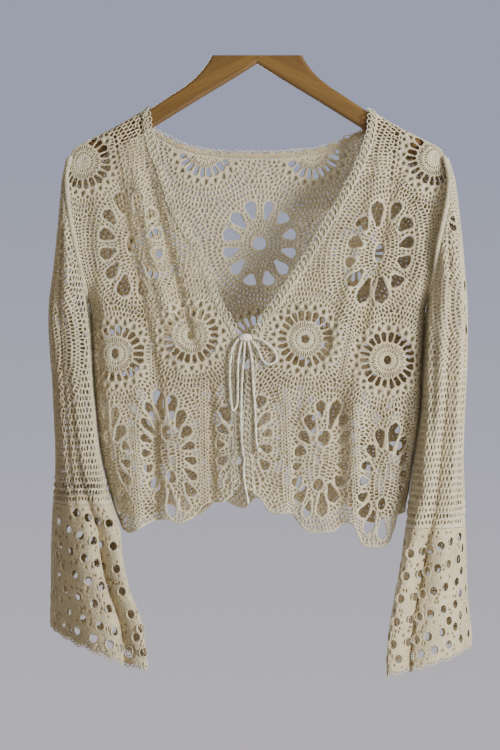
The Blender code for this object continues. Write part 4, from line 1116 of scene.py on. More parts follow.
# How deep a place lies in a fold, from 0 to 1, where painted shade makes the yarn warmer and darker
def sleevePaintedShade(side):
    def paintedshade(points):
        z = points[:, 1]
        angle = np.degrees(arcToAngle(side, points[:, 0], z))
        shade, look = sleeveShade[side], sleeveShade
        shadeMix = (foldShare(side, angle, z, look["foldNarrow"]) * look["foldDeep"]
                - creaseHeight(side, angle, z) * look["creaseDeep"])
        outer = np.exp(-(((angle - shade["angle"]) / shade["width"]) ** 2))
        outer *= smooth((look["from"] - z) / look["over"])
        return np.clip(shadeMix + shade["deep"] * outer, 0, look["most"])
    return paintedshade

# Finer creases of the body, in the same columns as its soft folds, and their shade
bodyCreases = {
    "front": ((-150, -85, -92, -340, 7, 4.6), (-134, -95, -78, -310, 6, -4.2),
              (-168, -95, -116, -360, 7, -4.4), (-186, -110, -168, -430, 8, 3.6),
              (-118, -340, -114, -620, 8, -5.4), (-136, -300, -134, -620, 8, 3.8),
              (-54, -330, -48, -620, 7, -4.4), (150, -85, 88, -340, 7, 4.6),
              (168, -95, 112, -350, 7, -4.6), (188, -110, 182, -430, 8, 3.8),
              (94, -320, 90, -640, 8, -5.4), (114, -330, 110, -640, 8, 3.6),
              (48, -330, 38, -620, 7, -3.6), (168, -340, 172, -660, 8, -4)),
    "back": ((-140, -110, -118, -560, 8, -3), (-60, -280, -50, -600, 8, 2.6),
             (58, -280, 62, -600, 8, -2.6), (144, -110, 122, -560, 8, 3)),
}
bodyShade = {"over": 6, "most": 0.6}

def bodyCloth(face):
    creases = bodyCreases["front" if face < 0 else "back"]
    def surface(points):
        place = bodySurface(points, face)
        place[:, 1] += face * foldHeight(creases, points[:, 0], points[:, 1])
        return place
    return surface

# Painted shade in the troughs of the body's folds and creases
def bodyPaintedShade(face):
    shape = "front" if face < 0 else "back"
    folds = bodyFolds[shape] + bodyCreases[shape]
    def paintedshade(points):
        shadeMix = -foldHeight(folds, points[:, 0], points[:, 1]) / bodyShade["over"]
        return np.clip(shadeMix, 0, bodyShade["most"])
    return paintedshade

# Petal gaps with round ends, and eyes, of one flower
gapLook = {"sides": 16, "widest": 0.68, "start": 0.34, "startMost": 0.72, "grow": 0.88,
           "uneven": 0.2, "long": 0.03, "fromEdge": 2.6, "apart": 1.8, "eyeSides": 14}

def petalGap(start, tip, halfWidth):
    run = tip - start
    across = np.array([-run[1], run[0]]) / np.linalg.norm(run)
    share = np.linspace(0, 1, gapLook["sides"] // 2)
    wide = gapLook["start"] + (1 - gapLook["start"]) * smooth(share / gapLook["widest"])
    closing = np.clip((share - gapLook["widest"]) / (1 - gapLook["widest"]), 0, 1)
    wide = wide * np.sqrt(np.clip(1 - closing ** 2, 0, 1))
    wide[-1] = 0.0
    middle = start + share[:, None] * run
    beside = (halfWidth * wide)[:, None] * across
    return np.vstack([middle + beside, (middle - beside)[::-1][1:]])

def roundGap(x, z, halfWidth, halfHeight, sides=gapLook["eyeSides"]):
    angles = 2 * np.pi * (np.arange(sides) + 0.5) / sides
    return np.stack([x + halfWidth * np.cos(angles), z + halfHeight * np.sin(angles)], axis=1)

# Angles round a flower at which its petals stand, or with half a step its gaps
def petalAngles(flower, shift):
    count = flower["gaps"]
    fine = np.linspace(0, 2 * np.pi, 721)
    run = runAlong(np.stack([flower["rx"] * np.cos(fine), flower["rz"] * np.sin(fine)], axis=1))
    return np.interp((np.arange(count) + shift) / count * run[-1], run, fine)

def flowerGaps(flower):
    rng = np.random.default_rng(int(abs(flower["x"] * 7 + flower["z"])))
    fine = np.linspace(0, 2 * np.pi, 721)
    around = np.hypot(flower["rx"] * np.sin(fine), flower["rz"] * np.cos(fine)).mean() * 2 * np.pi
    halfRun = gapShare * gapLook["grow"] * around / flower["gaps"]
    found = []
    for middle in petalAngles(flower, 0.5):
        wide, long = 1 + rng.uniform(-1, 1, 2) * gapLook["uneven"]
        tip = np.array([flower["rx"] * np.cos(middle), flower["rz"] * np.sin(middle)])
        start = tip * min(flower["start"] / long, gapLook["startMost"])
        tip = tip * (1 - gapLook["long"] + gapLook["long"] * long)
        found.append(petalGap(start, tip, halfRun * wide))
    found += [roundGap(0, *eye) for eye in flower["eyes"]]
    return [placed(gap, flower) for gap in found]

def keptGaps(gaps, outline):
    kept = []
    for gap in gaps:
        on, away = measureCloth(gap, [outline])
        if not on.all() or away.min() < gapLook["fromEdge"]:
            continue
        if not kept or measureCloth(gap, kept)[1].min() >= gapLook["apart"]:
            kept.append(gap)
    return kept

def frontOutline(side):
    hand = hands[side]
    edge = toSeam(offsetLine(frontLine(side), hand * (borderWidth + seamGap)))
    hem = tableLine(hemEdge[side])
    edge[-1, 1] = np.interp(hand * edge[-1, 0], hand * hem[:, 0], hem[:, 1])
    hem = hem[hand * hem[:, 0] > hand * edge[-1, 0] + hemRoom]
    sides = sideLine(side, hem[-1, 1] + hemToSide)
    foot = softLine(np.vstack([sides[-1:], hem[::-1], edge[-1:]]), 4.0)
    return np.vstack([shoulderLine(side, edge[0, 0]), sides[:-1], foot, edge[::-1][1:-1]])

def backOutline():
    neck = toSeam(toSeam(offsetLine(neckLine(), -(borderWidth + seamGap)))[::-1])[::-1]
    hem = tableLine(hemEdge["back"])
    left, right = (sideLine(side, hem[end, 1] + hemToSide)
                   for side, end in (("left", 0), ("right", -1)))
    foot = softLine(np.vstack([left[-1:], hem, right[-1:]]), 4.0)
    return np.vstack([shoulderLine("left", neck[0, 0]), left[:-1], foot, right[::-1][1:],
                      shoulderLine("right", neck[-1, 0])[::-1], neck[1:-1][::-1]])

def borderOutline(line, inward, face):
    inner = toSeam(offsetLine(line, inward * borderWidth))
    length = np.linalg.norm(np.diff(line, axis=0), axis=1).sum()
    steps = scallop["steps"]
    outer = resample(line, length / (steps * int(length / scallop["pitch"])))
    wave = scallop["depth"] * (1 - np.abs(np.sin(np.pi * np.arange(len(outer)) / steps)))
    wave[[0, -1]] = 0
    outer = outer + (offsetLine(outer, inward) - outer) * wave[:, None]
    if face > 0:
        inner = toSeam(inner[::-1])[::-1]
    return np.vstack([outer, inner[::-1]]), outer

def columnAt(across, heights):
    return np.stack(np.broadcast_arrays(across, heights), axis=1)

def sleeveOutline(side, sign):
    half, low = seamGap / 2, cuffSeam[side] + seamGap / 2
    heights = np.linspace(sleeveTop - sleeveDrop, armpit - sleeveDrop, 16)
    seamLine = angleToArc(side, seamAngle(heights + sleeveDrop), heights) - half
    down = np.linspace(armpit - sleeveDrop, low, 14)[1:]
    inner = angleToArc(side, np.pi, down) - half
    return np.vstack([
        columnAt(np.linspace(half, seamLine[0], 4)[:-1], sleeveTop),
        columnAt(seamLine, heights),
        columnAt(inner, down),
        columnAt(np.linspace(inner[-1], half, 12)[1:], low),
        columnAt(half, np.linspace(low, sleeveTop, 20)[1:-1]),
    ]) * (sign, 1)

def cuffFoot(side, sign, end):
    angles = np.linspace(end, np.pi - end, 60)
    low = cuffEdge(side, angles * sign * sleeveRadius)
    return np.stack([angleToArc(side, angles, low), low], axis=1)

def cuffOutline(side, sign):
    half, top = seamGap / 2, cuffSeam[side] - seamGap / 2
    foot = cuffFoot(side, sign, 0.004)
    up = np.linspace(foot[-1, 1], top, 12)[1:]
    inner = angleToArc(side, np.pi, up) - half
    return np.vstack([
        foot,
        columnAt(inner, up),
        columnAt(np.linspace(inner[-1], half, 12)[1:], top),
        columnAt(half, np.linspace(top, foot[0, 1], 12)[1:-1]),
    ]) * (sign, 1)

# Round eyelets of a cuff in staggered rows up from its edge, the two lowest as in the frame
cuffLook = {
    "pitch": 19.0,
    "aboveEdge": 15.0,
    "firstRow": 14.0,
    "row": 12.8,
    "rows": 13,
    "halfWidth": 4.9,
    "halfHeight": 5.3,
    "sides": 12,
    "clear": 7.0,
    "openFrom": 105,  # past this angle the left cuff's inner fold ends in larger loops
    "open": 1.45,
    "stitch": 3.5,
    "lift": 0.3,
    "tight": 0.82,  # share of its stitches without a hole, and the size of the others' holes
    "hole": 0.62,
    "knobby": 0.35,
    "yarn": 0.85,
    "knob": 1.22,
}
cuffRim = {"halfWidth": 5.3, "halfHeight": 5.7, "yarn": 0.75, "steps": 14, "above": 0.55}
# Picot loops along the lower edge of a cuff, larger at the end of the left one's inner fold
picotLook = {"halfWidth": 2.9, "halfHeight": 2.2, "yarn": 0.6, "steps": 10, "pitch": 4.6,
             "above": 0.0, "uneven": (0.85, 1.2), "large": 0.9, "largeFrom": 0.62, "over": 0.15}

def cuffHoles(side, sign):
    halfRound = np.pi * sleeveRadius
    count = int(halfRound * cuffHem["widens"] / cuffLook["pitch"])
    found = []
    for row in range(cuffLook["rows"]):
        rise = cuffLook["firstRow"] + (row - 1) * cuffLook["row"] if row else 0.0
        for step in range(count):
            place = (step + 0.5 + 0.5 * (row % 2)) / count * halfRound * sign
            z = cuffEdge(side, place) + cuffLook["aboveEdge"] + rise
            if z > cuffSeam[side] - cuffLook["clear"]:
                continue
            arc = angleToArc(side, place / sleeveRadius, z)[0]
            inner = np.degrees(place / sleeveRadius) > cuffLook["openFrom"]
            grow = cuffLook["open"] if side == "left" and row == 0 and inner else 1.0
            found.append(roundGap(arc, z, cuffLook["halfWidth"] * grow,
                                  cuffLook["halfHeight"] * grow, cuffLook["sides"]))
    return found

def cuffPicots(side, half, sign, facing):
    foot = resample(cuffFoot(side, sign, 0.02) * (sign, 1), picotLook["pitch"])
    grow = np.random.default_rng(9).uniform(*picotLook["uneven"], len(foot))
    if side == "left" and sign > 0:
        share = foot[:, 0] / foot[:, 0].max() - picotLook["largeFrom"]
        grow += picotLook["large"] * smooth(share / picotLook["over"])
    yarnLoops(f"cuffPicots{side.title()}{half.title()}", foot, np.pi / 2, grow,
              sleeveCloth(side), facing, picotLook, "cuff")

def dress(thing, kind, node=None):
    thing.data.materials.clear()
    thing.data.materials.append(cotton[kind])
    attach(thing, "root")
    if node:
        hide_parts(node)
    return thing

def loopArea(loop):
    x, z = loop[:, 0], loop[:, 1]
    return abs((x * np.roll(z, -1) - z * np.roll(x, -1)).sum()) / 2

def clothSheet(outline):
    size = (outline.max(axis=0) - outline.min(axis=0)) * mm
    area = max(loopArea(outline) * mm * mm, 0.301 * size[0] * size[1])

# A border's length and the area of the strip that it was worked as, worked out and not
# used. A border is declared as the strip that it was worked as, at least 10 mm wide
def borderSheet(outline, line):
    length = np.linalg.norm(np.diff(line, axis=0), axis=1).sum() * mm
    loopArea(outline) * mm * mm

# Cords of the tie: a soft three-strand twist along a smooth line
tieLook = {"lobes": 3, "lobe": 0.13, "turns": 150.0, "steps": 90, "sides": 12}

def makeCordTree():
    tree, take, give = newGeometryTree("twistedCord", (
        ("Width", "Float"), ("Turns", "Float"), ("Steps", "Int"), ("Sides", "Int"),
        ("Lobe", "Float")))
    make, sums = nodeMaker(tree)
    line = make("GeometryNodeResampleCurve", "Curve",
                {"Curve": take["Geometry"], "Count": take["Steps"]})
    run = make("GeometryNodeSplineParameter", "Length", {})
    tilt = make("GeometryNodeSetCurveTilt", "Curve",
                {"Curve": line, "Tilt": sums("MULTIPLY", run, take["Turns"])})
    ring = make("GeometryNodeCurvePrimitiveCircle", "Curve", {"Resolution": take["Sides"]})
    place = make("GeometryNodeInputPosition", "Position", {})
    parts = make("ShaderNodeSeparateXYZ", None, {"Vector": place}).outputs
    many = sums("MULTIPLY", sums("ARCTAN2", parts["Y"], parts["X"]), tieLook["lobes"])
    grow = sums("MULTIPLY_ADD", sums("COSINE", many), take["Lobe"], 1.0)
    size = sums("MULTIPLY", grow, sums("MULTIPLY", take["Width"], 0.5))
    spot = make("ShaderNodeVectorMath", "Vector", {"Vector": place, "Scale": size},
                operation="SCALE")
    shape = make("GeometryNodeSetPosition", "Geometry", {"Geometry": ring, "Position": spot})
    tube = make("GeometryNodeCurveToMesh", "Mesh",
                {"Curve": tilt, "Profile Curve": shape, "Fill Caps": True})
    return endTree(tree, tube, take["Finish"], give)

def tieCord(name, label):
    fine = curveThrough(cordLine(name), tieLook["steps"]) * mm
    data = bpy.data.curves.new(label, "CURVE")
    data.dimensions = "3D"
    spline = data.splines.new("POLY")
    spline.points.add(len(fine) - 1)
    for point, place in zip(spline.points, fine):
        point.co = (*place, 1.0)
    thing = bakeTree(newObject(label, data), cordTree, {
        "Width": cordThick * mm, "Turns": tieLook["turns"], "Steps": tieLook["steps"],
        "Sides": tieLook["sides"], "Lobe": tieLook["lobe"], "Finish": cotton["tie"]})
    dress(thing, "tie", name)

# Small rings of yarn that stand on points of the cloth, turned and sized by the points' attributes
def makeLoopTree():
    tree, take, give = newGeometryTree("yarnLoops", (
        ("Half Width", "Float"), ("Half Height", "Float"), ("Yarn Radius", "Float"),
        ("Steps", "Int")))
    make, _ = nodeMaker(tree)
    ring = make("GeometryNodeCurvePrimitiveCircle", "Curve", {"Resolution": take["Steps"]})
    size = make("ShaderNodeCombineXYZ", "Vector",
                {"X": take["Half Width"], "Y": take["Half Height"], "Z": 1.0})
    shape = make("GeometryNodeTransform", "Geometry", {"Geometry": ring, "Scale": size})
    yarn = make("GeometryNodeCurvePrimitiveCircle", "Curve",
                {"Resolution": 5, "Radius": take["Yarn Radius"]})
    tube = make("GeometryNodeCurveToMesh", "Mesh", {"Curve": shape, "Profile Curve": yarn})
    turn = make("GeometryNodeInputNamedAttribute", "Attribute", {"Name": "turn"},
                data_type="FLOAT_VECTOR")
    grow = make("GeometryNodeInputNamedAttribute", "Attribute", {"Name": "grow"},
                data_type="FLOAT")
    stand = make("GeometryNodeInstanceOnPoints", "Instances", {
        "Points": take["Geometry"], "Instance": tube, "Rotation": turn, "Scale": grow})
    return endTree(tree, stand, take["Finish"], give)

# Rings of yarn at cloth points, each with its long side at an angle in the cloth
def yarnLoops(name, points, angles, grow, surface, facing, look, kind):
    place, across, normal = layOn(surface, points, facing)
    angles = np.broadcast_to(angles, len(points))[:, None]
    long = across * np.cos(angles) + np.cross(normal, across) * np.sin(angles) * facing
    short = np.cross(normal, long)
    turns = [tuple(Matrix(axes).transposed().to_euler()) for axes in zip(long, short, normal)]
    mesh = bpy.data.meshes.new(name)
    mesh.from_pydata(((place + normal * look["above"]) * mm).tolist(), [], [])
    addLayer(mesh, "turn", turns, "FLOAT_VECTOR", "vector")
    addLayer(mesh, "grow", np.broadcast_to(grow, len(points)))
    thing = bakeTree(newObject(name, mesh), loopTree, {
        "Half Width": look["halfWidth"] * mm, "Half Height": look["halfHeight"] * mm,
        "Yarn Radius": look["yarn"] * mm, "Steps": look["steps"], "Finish": cotton[kind]})
    print(name, len(points), "loops")
    dress(thing, kind)

# Rolled seam between a sleeve and the body: up the front, over the shoulder's tip, down the back
armLook = {"step": 0.8, "sides": 14, "wide": 2.7, "thick": 1.7, "rise": 2.6, "stitch": 3.4,
           "groove": 0.3, "low": 6.0, "tipRise": 4.0, "tipSpan": 0.028, "blur": 9}
# Side seam of the body, from the armpit down to the hem
sideLook = {"step": 0.8, "sides": 10, "wide": 1.7, "thick": 2.6, "rise": 0.0, "stitch": 3.4,
            "groove": 0.25, "below": 1.0, "out": 0.35}
# deep and sharp: how much painted shade fills the grooves between the stitches, and how narrow it
# is
ribLook = {"ends": 0.05, "endSize": 0.3, "slant": 1.1, "deep": 0.9, "sharp": 1.5}

# Ribbed tube along a line, wide along one direction and thick along the other
def ribTube(name, middle, away, outward, look):
    at = np.arange(len(middle)) * np.linalg.norm(np.diff(middle, axis=0), axis=1).mean()
    share = at / at[-1]
    ends = smooth(share / ribLook["ends"]) * smooth((1 - share) / ribLook["ends"])
    turns = 2 * np.pi * np.arange(look["sides"]) / look["sides"]
    slanted = at[:, None] + ribLook["slant"] * np.cos(turns)
    slant = np.abs(np.sin(np.pi * slanted / look["stitch"]))
    size = ribLook["endSize"] + (1 - ribLook["endSize"]) * ends
    grow = size[:, None] * (1 - look["groove"] * (1 - slant))
    centre = middle + outward * (look["rise"] * ends)[:, None]
    rings = (centre[:, None] + away[:, None] * (look["wide"] * np.cos(turns) * grow)[..., None]
             + outward[:, None] * (look["thick"] * np.sin(turns) * grow)[..., None])
    # painted shade in the grooves between the slanted stitches, kept as the tube's depth
    tubeMesh(name, rings, ribLook["deep"] * (1 - slant) ** ribLook["sharp"])

# The points of each ring, with the next one round it
def ringPairs(rings, sides):
    return [(ring * sides + side, ring * sides + (side + 1) % sides)
            for ring in range(rings) for side in range(sides)]

# Closed tube through rings of points, with a depth for each point: the amount of painted shade that
# it gets
def tubeMesh(name, rings, depth):
    count, sides = rings.shape[:2]
    faces = [(a, b, b + sides, a + sides) for a, b in ringPairs(count - 1, sides)]
    faces.append(tuple(range(sides))[::-1])
    faces.append(tuple(range((count - 1) * sides, count * sides)))
    mesh = bpy.data.meshes.new(name)
    mesh.from_pydata((rings.reshape(-1, 3) * mm).tolist(), [], faces)
    work = bmesh.new()
    work.from_mesh(mesh)
    bmesh.ops.recalc_face_normals(work, faces=work.faces)
    work.to_mesh(mesh)
    work.free()
    addLayer(mesh, "depth", depth)
    mesh.shade_smooth()
    dress(newObject(name, mesh), "lace")

def armBand(side):
    heights = np.linspace(armpit + armLook["low"], sideTop, 90)
    middles, aways = [], []
    for face, order in ((-1, 1), (1, -1)):
        body = bodySurface(np.stack([sideEdge(side, heights), heights], axis=1), face)
        angle = -face * seamAngle(heights) * sleeveRadius
        arm = sleeveSurface(np.stack([angle, heights - sleeveDrop], axis=1), side)
        middles.append(((body + arm) / 2)[::order])
        aways.append((arm - body)[::order])
    middle, away = np.vstack(middles), np.vstack(aways)
    run = runAlong(middle)
    at = np.arange(0, run[-1], armLook["step"])
    middle, away = alongLine(at, run, middle), alongLine(at, run, away)
    blur = np.ones(armLook["blur"]) / armLook["blur"]
    spare = armLook["blur"] // 2
    for line in (middle, away):
        padded = np.vstack([line[:1]] * spare + [line] + [line[-1:]] * spare)
        for i in range(3):
            line[:, i] = np.convolve(padded[:, i], blur, "valid")
    ahead, away = unit(np.gradient(middle, axis=0)), unit(away)
    outward = unit(-hands[side] * np.cross(ahead, away))
    # the band arches over the shoulder's tip and rounds it
    over = np.exp(-(((at / at[-1] - 0.5) / armLook["tipSpan"]) ** 2)) * armLook["tipRise"]
    ribTube(f"armSeam{side.title()}", middle + outward * over[:, None], away, outward, armLook)

def sideSeam(side):
    low = hemEdge[side]["z"][-1] + hemToSide
    heights = np.arange(armpit - sideLook["below"], low, -sideLook["step"])
    across = hands[side] * (bodySide(side, heights) + sideLook["out"])
    middle = np.stack([across, np.zeros(len(heights)), heights], axis=1)
    away = np.tile((hands[side], 0.0, 0.0), (len(heights), 1))
    outward = np.tile((0.0, -1.0, 0.0), (len(heights), 1))
    ribTube(f"sideSeam{side.title()}", middle, away, outward, sideLook)

# Knots as cord wound round itself: strands lie side by side over a rounded form
knotLook = {"sides": 40, "rings": 24, "depth": 0.11, "slant": 0.5}

def woundKnot(name, node, centre, radii, strands):
    rings, sides = knotLook["rings"], knotLook["sides"]
    polar = np.pi * np.arange(1, rings)[:, None] / rings
    turn = 2 * np.pi * np.arange(sides) / sides
    form = np.stack(np.broadcast_arrays(
        np.cos(polar), np.sin(polar) * np.sin(turn), np.sin(polar) * np.cos(turn)), axis=2)
    wound = (form[..., 0] * strands / 2 + knotLook["slant"] * form[..., 2]) * np.pi
    grow = 1 - knotLook["depth"] * (1 - np.abs(np.sin(wound))) ** 2
    points = (form * grow[..., None]).reshape(-1, 3)
    points = np.vstack([points, (1, 0, 0), (-1, 0, 0)]) * radii + centre
    first, low = len(points) - 2, (rings - 2) * sides
    faces = [(a, a + sides, b + sides, b) for a, b in ringPairs(rings - 2, sides)]
    for side, after in ringPairs(1, sides):
        faces += [(first, side, after), (first + 1, low + after, low + side)]
    mesh = bpy.data.meshes.new(name)
    mesh.from_pydata((points * mm).tolist(), [], faces)
    mesh.shade_smooth()
    return dress(newObject(name, mesh), "tie", node)

# Studio: soft light, a pale floor and a pale backdrop colour
studio = {
    "floor": {"z": -975.0, "size": 1.5, "color": (0.52, 0.52, 0.56), "roughness": 0.8},
    "low": (0.60, 0.565, 0.60),
    "high": (0.36, 0.39, 0.525),
    "rise": (-0.2, 0.12, 0.0, 1.0),
    "bounce": (0.37, 0.33, 0.275),
}
# Lamps: place, aim, size and power
lamps = {
    "key": ((2.0, -1.4, 0.0), (0, 0, -0.4), 0.8, 112.0),
    "fill": ((1.3, -2.1, -1.1), (0, 0, -0.45), 1.4, 20.0),
    "top": ((0.0, 0.2, 1.6), (0, 0, -0.3), 1.2, 14.0),
    "back": ((-0.8, 2.2, 0.3), (0, 0, -0.35), 1.6, 40.0),
}

def makeStudio():
    world = bpy.data.worlds.new("studio")
    world.use_nodes = True
    make, _ = nodeMaker(world.node_tree)
    way = make("ShaderNodeTexCoord", "Generated", {})
    height = make("ShaderNodeSeparateXYZ", "Z", {"Vector": way})
    tone = mixed(make, ranged(make, height, *studio["rise"]),
                 (*studio["low"], 1.0), (*studio["high"], 1.0))
    # what lights the object is a warmer and dimmer room than the backdrop that is seen
    seen = make("ShaderNodeLightPath", "Is Camera Ray", {})
    room = mixed(make, seen, (*studio["bounce"], 1.0), tone)
    wire(world.node_tree, world.node_tree.nodes["Background"], {"Color": room})
    bpy.context.scene.world = world
    for name, (place, aim, size, power) in lamps.items():
        data = bpy.data.lights.new(name, "AREA")
        data.shape = "DISK"
        data.size = size
        data.energy = power
        light = newObject(name, data)
        light.location = place
        light.rotation_euler = (Vector(aim) - Vector(place)).to_track_quat("-Z", "Y").to_euler()
    floor = studio["floor"]
    half, z = floor["size"] / 2, floor["z"] * mm
    corners = [(x * half, y * half, z) for x, y in ((-1, -1), (1, -1), (1, 1), (-1, 1))]
    mesh = bpy.data.meshes.new("floor")
    mesh.from_pydata(corners, [], [(0, 1, 2, 3)])
    paint, _, _ = newMaterial("paleFloor", {
        "Base Color": (*floor["color"], 1.0), "Roughness": floor["roughness"]})
    mesh.materials.append(paint)
    newObject("floor", mesh)

makeCamera()
yarnGroup = makeYarnGroup()
cotton = {name: cottonMaterial(f"{name}Cotton", tones, yarnGroup)
          for name, tones in cottonTones.items()}
cordTree = makeCordTree()
loopTree = makeLoopTree()
tieEnd = cordLine("tie_tail_right")
tieEndAim = (tieEnd[-1] - tieEnd[-2]) / np.linalg.norm(tieEnd[-1] - tieEnd[-2])
endKnotPiece = woundKnot("tieEndKnot", "tie_end_knot", tieEnd[-1] + tieEndAim * (endKnot + touch),
                         [endKnot] * 3, 2.0)
woundKnot("bowKnot", "tie_knot", knotCentre(),
          (bowKnot["wide"], bowKnot["deep"], bowKnot["tall"]), 4.0)
tieCord("tie_loop_left", "tieLoopLeft")
tieCord("tie_loop_right", "tieLoopRight")
tieCord("tie_tail_left", "tieTailLeft")
tieCord("tie_tail_right", "tieTailRight")
print("tie made")

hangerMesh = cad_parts["hanger"].data
hangerMesh.materials.clear()
hangerMesh.materials.append(woodMaterial())

# Borders of the fronts and the neck: a strip of close stitches with shell stitches along it, long
# loops that lean out over its scallops
borderLook = {"pitch": 4.0, "lift": 0.2, "yarn": 0.8, "shade": 0.7}
shellLook = {"halfWidth": 5.6, "halfHeight": 3.1, "yarn": 0.62, "steps": 18, "pitch": 6.6,
             "lean": 0.85, "above": 1.5, "inside": 2.6, "turn": 0.16, "size": (0.86, 1.14)}

def makeBorder(stripName, shellName, node, line, inward, face):
    edge, outer = borderOutline(line, inward, face)
    sites = panelSites([edge], [], borderLook["pitch"], borderLook["lift"])
    # the strip under the shells gets an even painted shade
    strip = laceMesh(stripName, sites, bodyCloth(face), -face, borderLook["yarn"],
                     lambda points: np.full(len(points), borderLook["shade"]))
    dress(strip, "edging", node)
    borderSheet(edge, outer)
    middle = softLine(offsetLine(line, inward * shellLook["inside"]), shellLook["pitch"])[1:-1]
    along = np.gradient(middle, axis=0)
    angles = np.arctan2(along[:, 1], along[:, 0]) + shellLook["lean"] * inward
    rng = np.random.default_rng(5)
    angles += rng.uniform(-shellLook["turn"], shellLook["turn"], len(middle))
    grow = rng.uniform(*shellLook["size"], len(middle))
    yarnLoops(shellName, middle, angles, grow, bodyCloth(face), -face, shellLook, "edging")

# The edges and gaps of a body panel, and its motifs
def panelForm(shape, outline, extraWheels):
    blooms = [flowerMotif(row) for row in flowers[shape]]
    gaps = [gap for flower in blooms for gap in flowerGaps(flower)]
    gaps += [roundGap(*wheel) for wheel in wheels[shape]]
    motifs = blooms + [wheelMotif(*wheel[:2]) for wheel in (*wheels[shape], *extraWheels)]
    return [outline] + keptGaps(gaps, outline), motifs

# Seams between the motifs of the fronts: both ends of each, and how large its holes are
frontSeams = {
    "left": ((-143.8, -420, -133.7, -532, 1.0), (-61, -372, -60, -520, 1.0),
             (-120.7, -300, -118.4, -374, 1.0), (-163, -92, -152, -150, 1.7),
             (-134, -76, -129, -106, 1.7)),
    "right": ((109.3, -300, 94.4, -372, 1.0), (31.1, -388, 36, -520, 1.0),
              (108, -400, 116, -545, 1.0), (160, -90, 152, -150, 1.7),
              (132, -74, 127, -112, 1.7)),
}
# Wheels that lie over the shoulder's tips, and half wheels that hang from the back neckline
shoulderWheels = {"left": (-200.0, -122.0), "right": (203.0, -118.0)}
backNeckWheels = ((-60.0, -105.0), (64.0, -107.0))
shoulderOpen = {"above": -128, "upTo": 0.5, "grow": 1.2}  # the net is more open at the shoulders

for side, hand in (("left", -1), ("right", 1)):
    outline = frontOutline(side)
    loops, motifs = panelForm(f"front_{side}", outline, [shoulderWheels[side]])
    sites = panelSites(loops, motifs, laceLook["pitch"], seams=frontSeams[side])
    high = (sites[:, 2] > 0) & (sites[:, 1] > shoulderOpen["above"])
    sites[high & (sites[:, 3] < shoulderOpen["upTo"]), 2:4] *= shoulderOpen["grow"]
    panel = laceMesh(f"frontLace{side.title()}", sites, bodyCloth(-1), 1, paintedshade=bodyPaintedShade(-1))
    dress(panel, "lace", f"front_{side}")
    clothSheet(outline)
    makeBorder(f"frontBorder{side.title()}", f"frontShells{side.title()}",
               f"front_border_{side}", frontLine(side), hand, -1)

# The back's holes are smaller where the fronts hide them, its spokes less so than its net
backLook = {"pitch": 4.4, "spokesFrom": 0.6, "hidden": {"spokes": 0.8, "net": 0.5},
            "seen": {"spokes": 0.95, "net": 0.66}, "fade": 18.0, "inside": 0.25}

# How far behind the fronts a place of the back lies, from 0 in the open neck to 1
def behindFronts(points):
    share = np.zeros(len(points))
    for side in hands:
        on, away = measureCloth(points, [frontOutline(side)])
        share = np.maximum(share, np.where(on, smooth(away / backLook["fade"]), 0.0))
    return share

# Painted shade on the back's inner side: weaker in the open neck, full where the fronts close it in
def backInsideShade(points):
    return backLook["inside"] + (1 - backLook["inside"]) * behindFronts(points)

outline = backOutline()
loops, motifs = panelForm("back", outline, backNeckWheels)
sites = panelSites(loops, motifs, backLook["pitch"])
spokes = sites[:, 3] > backLook["spokesFrom"]
hidden, seen = (np.where(spokes, backLook[part]["spokes"], backLook[part]["net"])
                for part in ("hidden", "seen"))
shrink = np.where(behindFronts(sites[:, :2]) > 0.5, hidden, seen)
holed = sites[:, 2] > 0
sites[holed, 2:4] *= shrink[holed, None]
panel = laceMesh("backLace", sites, bodyCloth(1), -1, paintedshade=bodyPaintedShade(1), insideShade=backInsideShade)
dress(panel, "lace", "back_panel")
clothSheet(outline)
makeBorder("neckBorder", "neckShells", "neck_border_back", neckLine(), -1, 1)
print("body made")

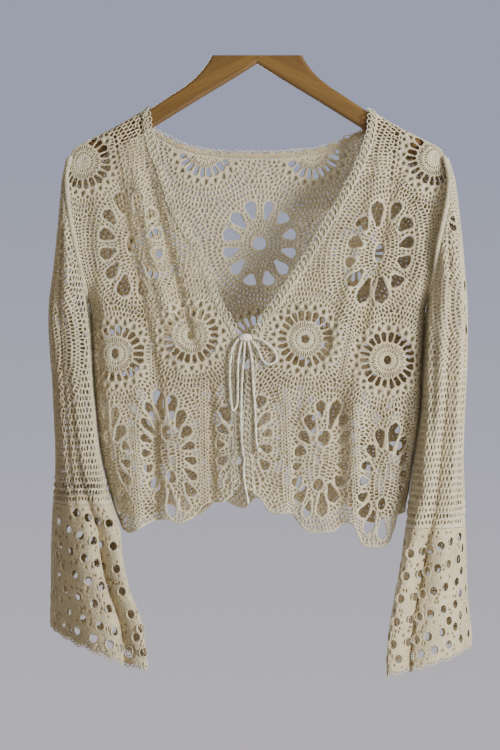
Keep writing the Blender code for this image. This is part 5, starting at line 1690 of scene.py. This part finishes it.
# Flowers of the sleeves, as on the body, with their middle's place round the sleeve from its
# outer side
sleeveFlowers = {
    "left": ((34, -178, 13, 22, 9, 0.45, 0, ()), (16, -330, 15, 34, 12, 0.5, 0, ())),
    "right": ((46, -190, 13, 24, 9, 0.45, 0, ()), (22, -290, 16, 34, 12, 0.5, 0, ((0, 2.6, 5),))),
}
sleeveLook = {"pitch": 4.3, "tall": 1.25, "open": {"left": 0.95, "right": 0.5}}

def makeSleeve(side, half, sign, facing):
    outline = sleeveOutline(side, sign)
    motifs = [flowerMotif((row[0] * sign, *row[1:])) for row in sleeveFlowers[side]]
    gaps = [gap for motif in motifs for gap in flowerGaps(motif)]
    loops = [outline] + keptGaps(gaps, outline)
    sites = panelSites(loops, motifs, sleeveLook["pitch"], tall=sleeveLook["tall"])
    sites[sites[:, 2] > 0, 2:4] *= sleeveLook["open"][side]
    part = laceMesh(f"sleeve{side.title()}{half.title()}", sites, sleeveCloth(side), facing,
                    paintedshade=sleevePaintedShade(side))
    dress(part, "lace", f"sleeve_{side}_{half}")
    clothSheet(outline)

def makeCuff(side, half, sign, facing):
    outline = cuffOutline(side, sign)
    loops = [outline] + keptGaps(cuffHoles(side, sign), outline)
    sites = panelSites(loops, [], cuffLook["stitch"], cuffLook["lift"])
    rng = np.random.default_rng(17)
    tight = (sites[:, 2] > 0) & (rng.random(len(sites)) < cuffLook["tight"])
    sites[tight, 2:4] = 0.0
    sites[sites[:, 2] > 0, 2:4] *= cuffLook["hole"]
    sites[:, 5] += rng.uniform(0, cuffLook["knobby"], len(sites))
    part = laceMesh(f"cuff{side.title()}{half.title()}", sites, sleeveCloth(side), facing,
                    cuffLook["yarn"], sleevePaintedShade(side), knob=cuffLook["knob"])
    dress(part, "cuff", f"cuff_{side}_{half}")
    clothSheet(outline)
    rims = np.array([hole.mean(axis=0) for hole in loops[1:]])
    yarnLoops(f"cuffRims{side.title()}{half.title()}", rims, 0.0, 1.0, sleeveCloth(side), facing,
              cuffRim, "cuff")
    cuffPicots(side, half, sign, facing)

for side, facing in (("left", 1), ("right", -1)):
    for half, sign in (("front", 1), ("back", -1)):
        makeSleeve(side, half, sign, facing)
        makeCuff(side, half, sign, facing)
    armBand(side)
    sideSeam(side)
print("sleeves made")

makeStudio()
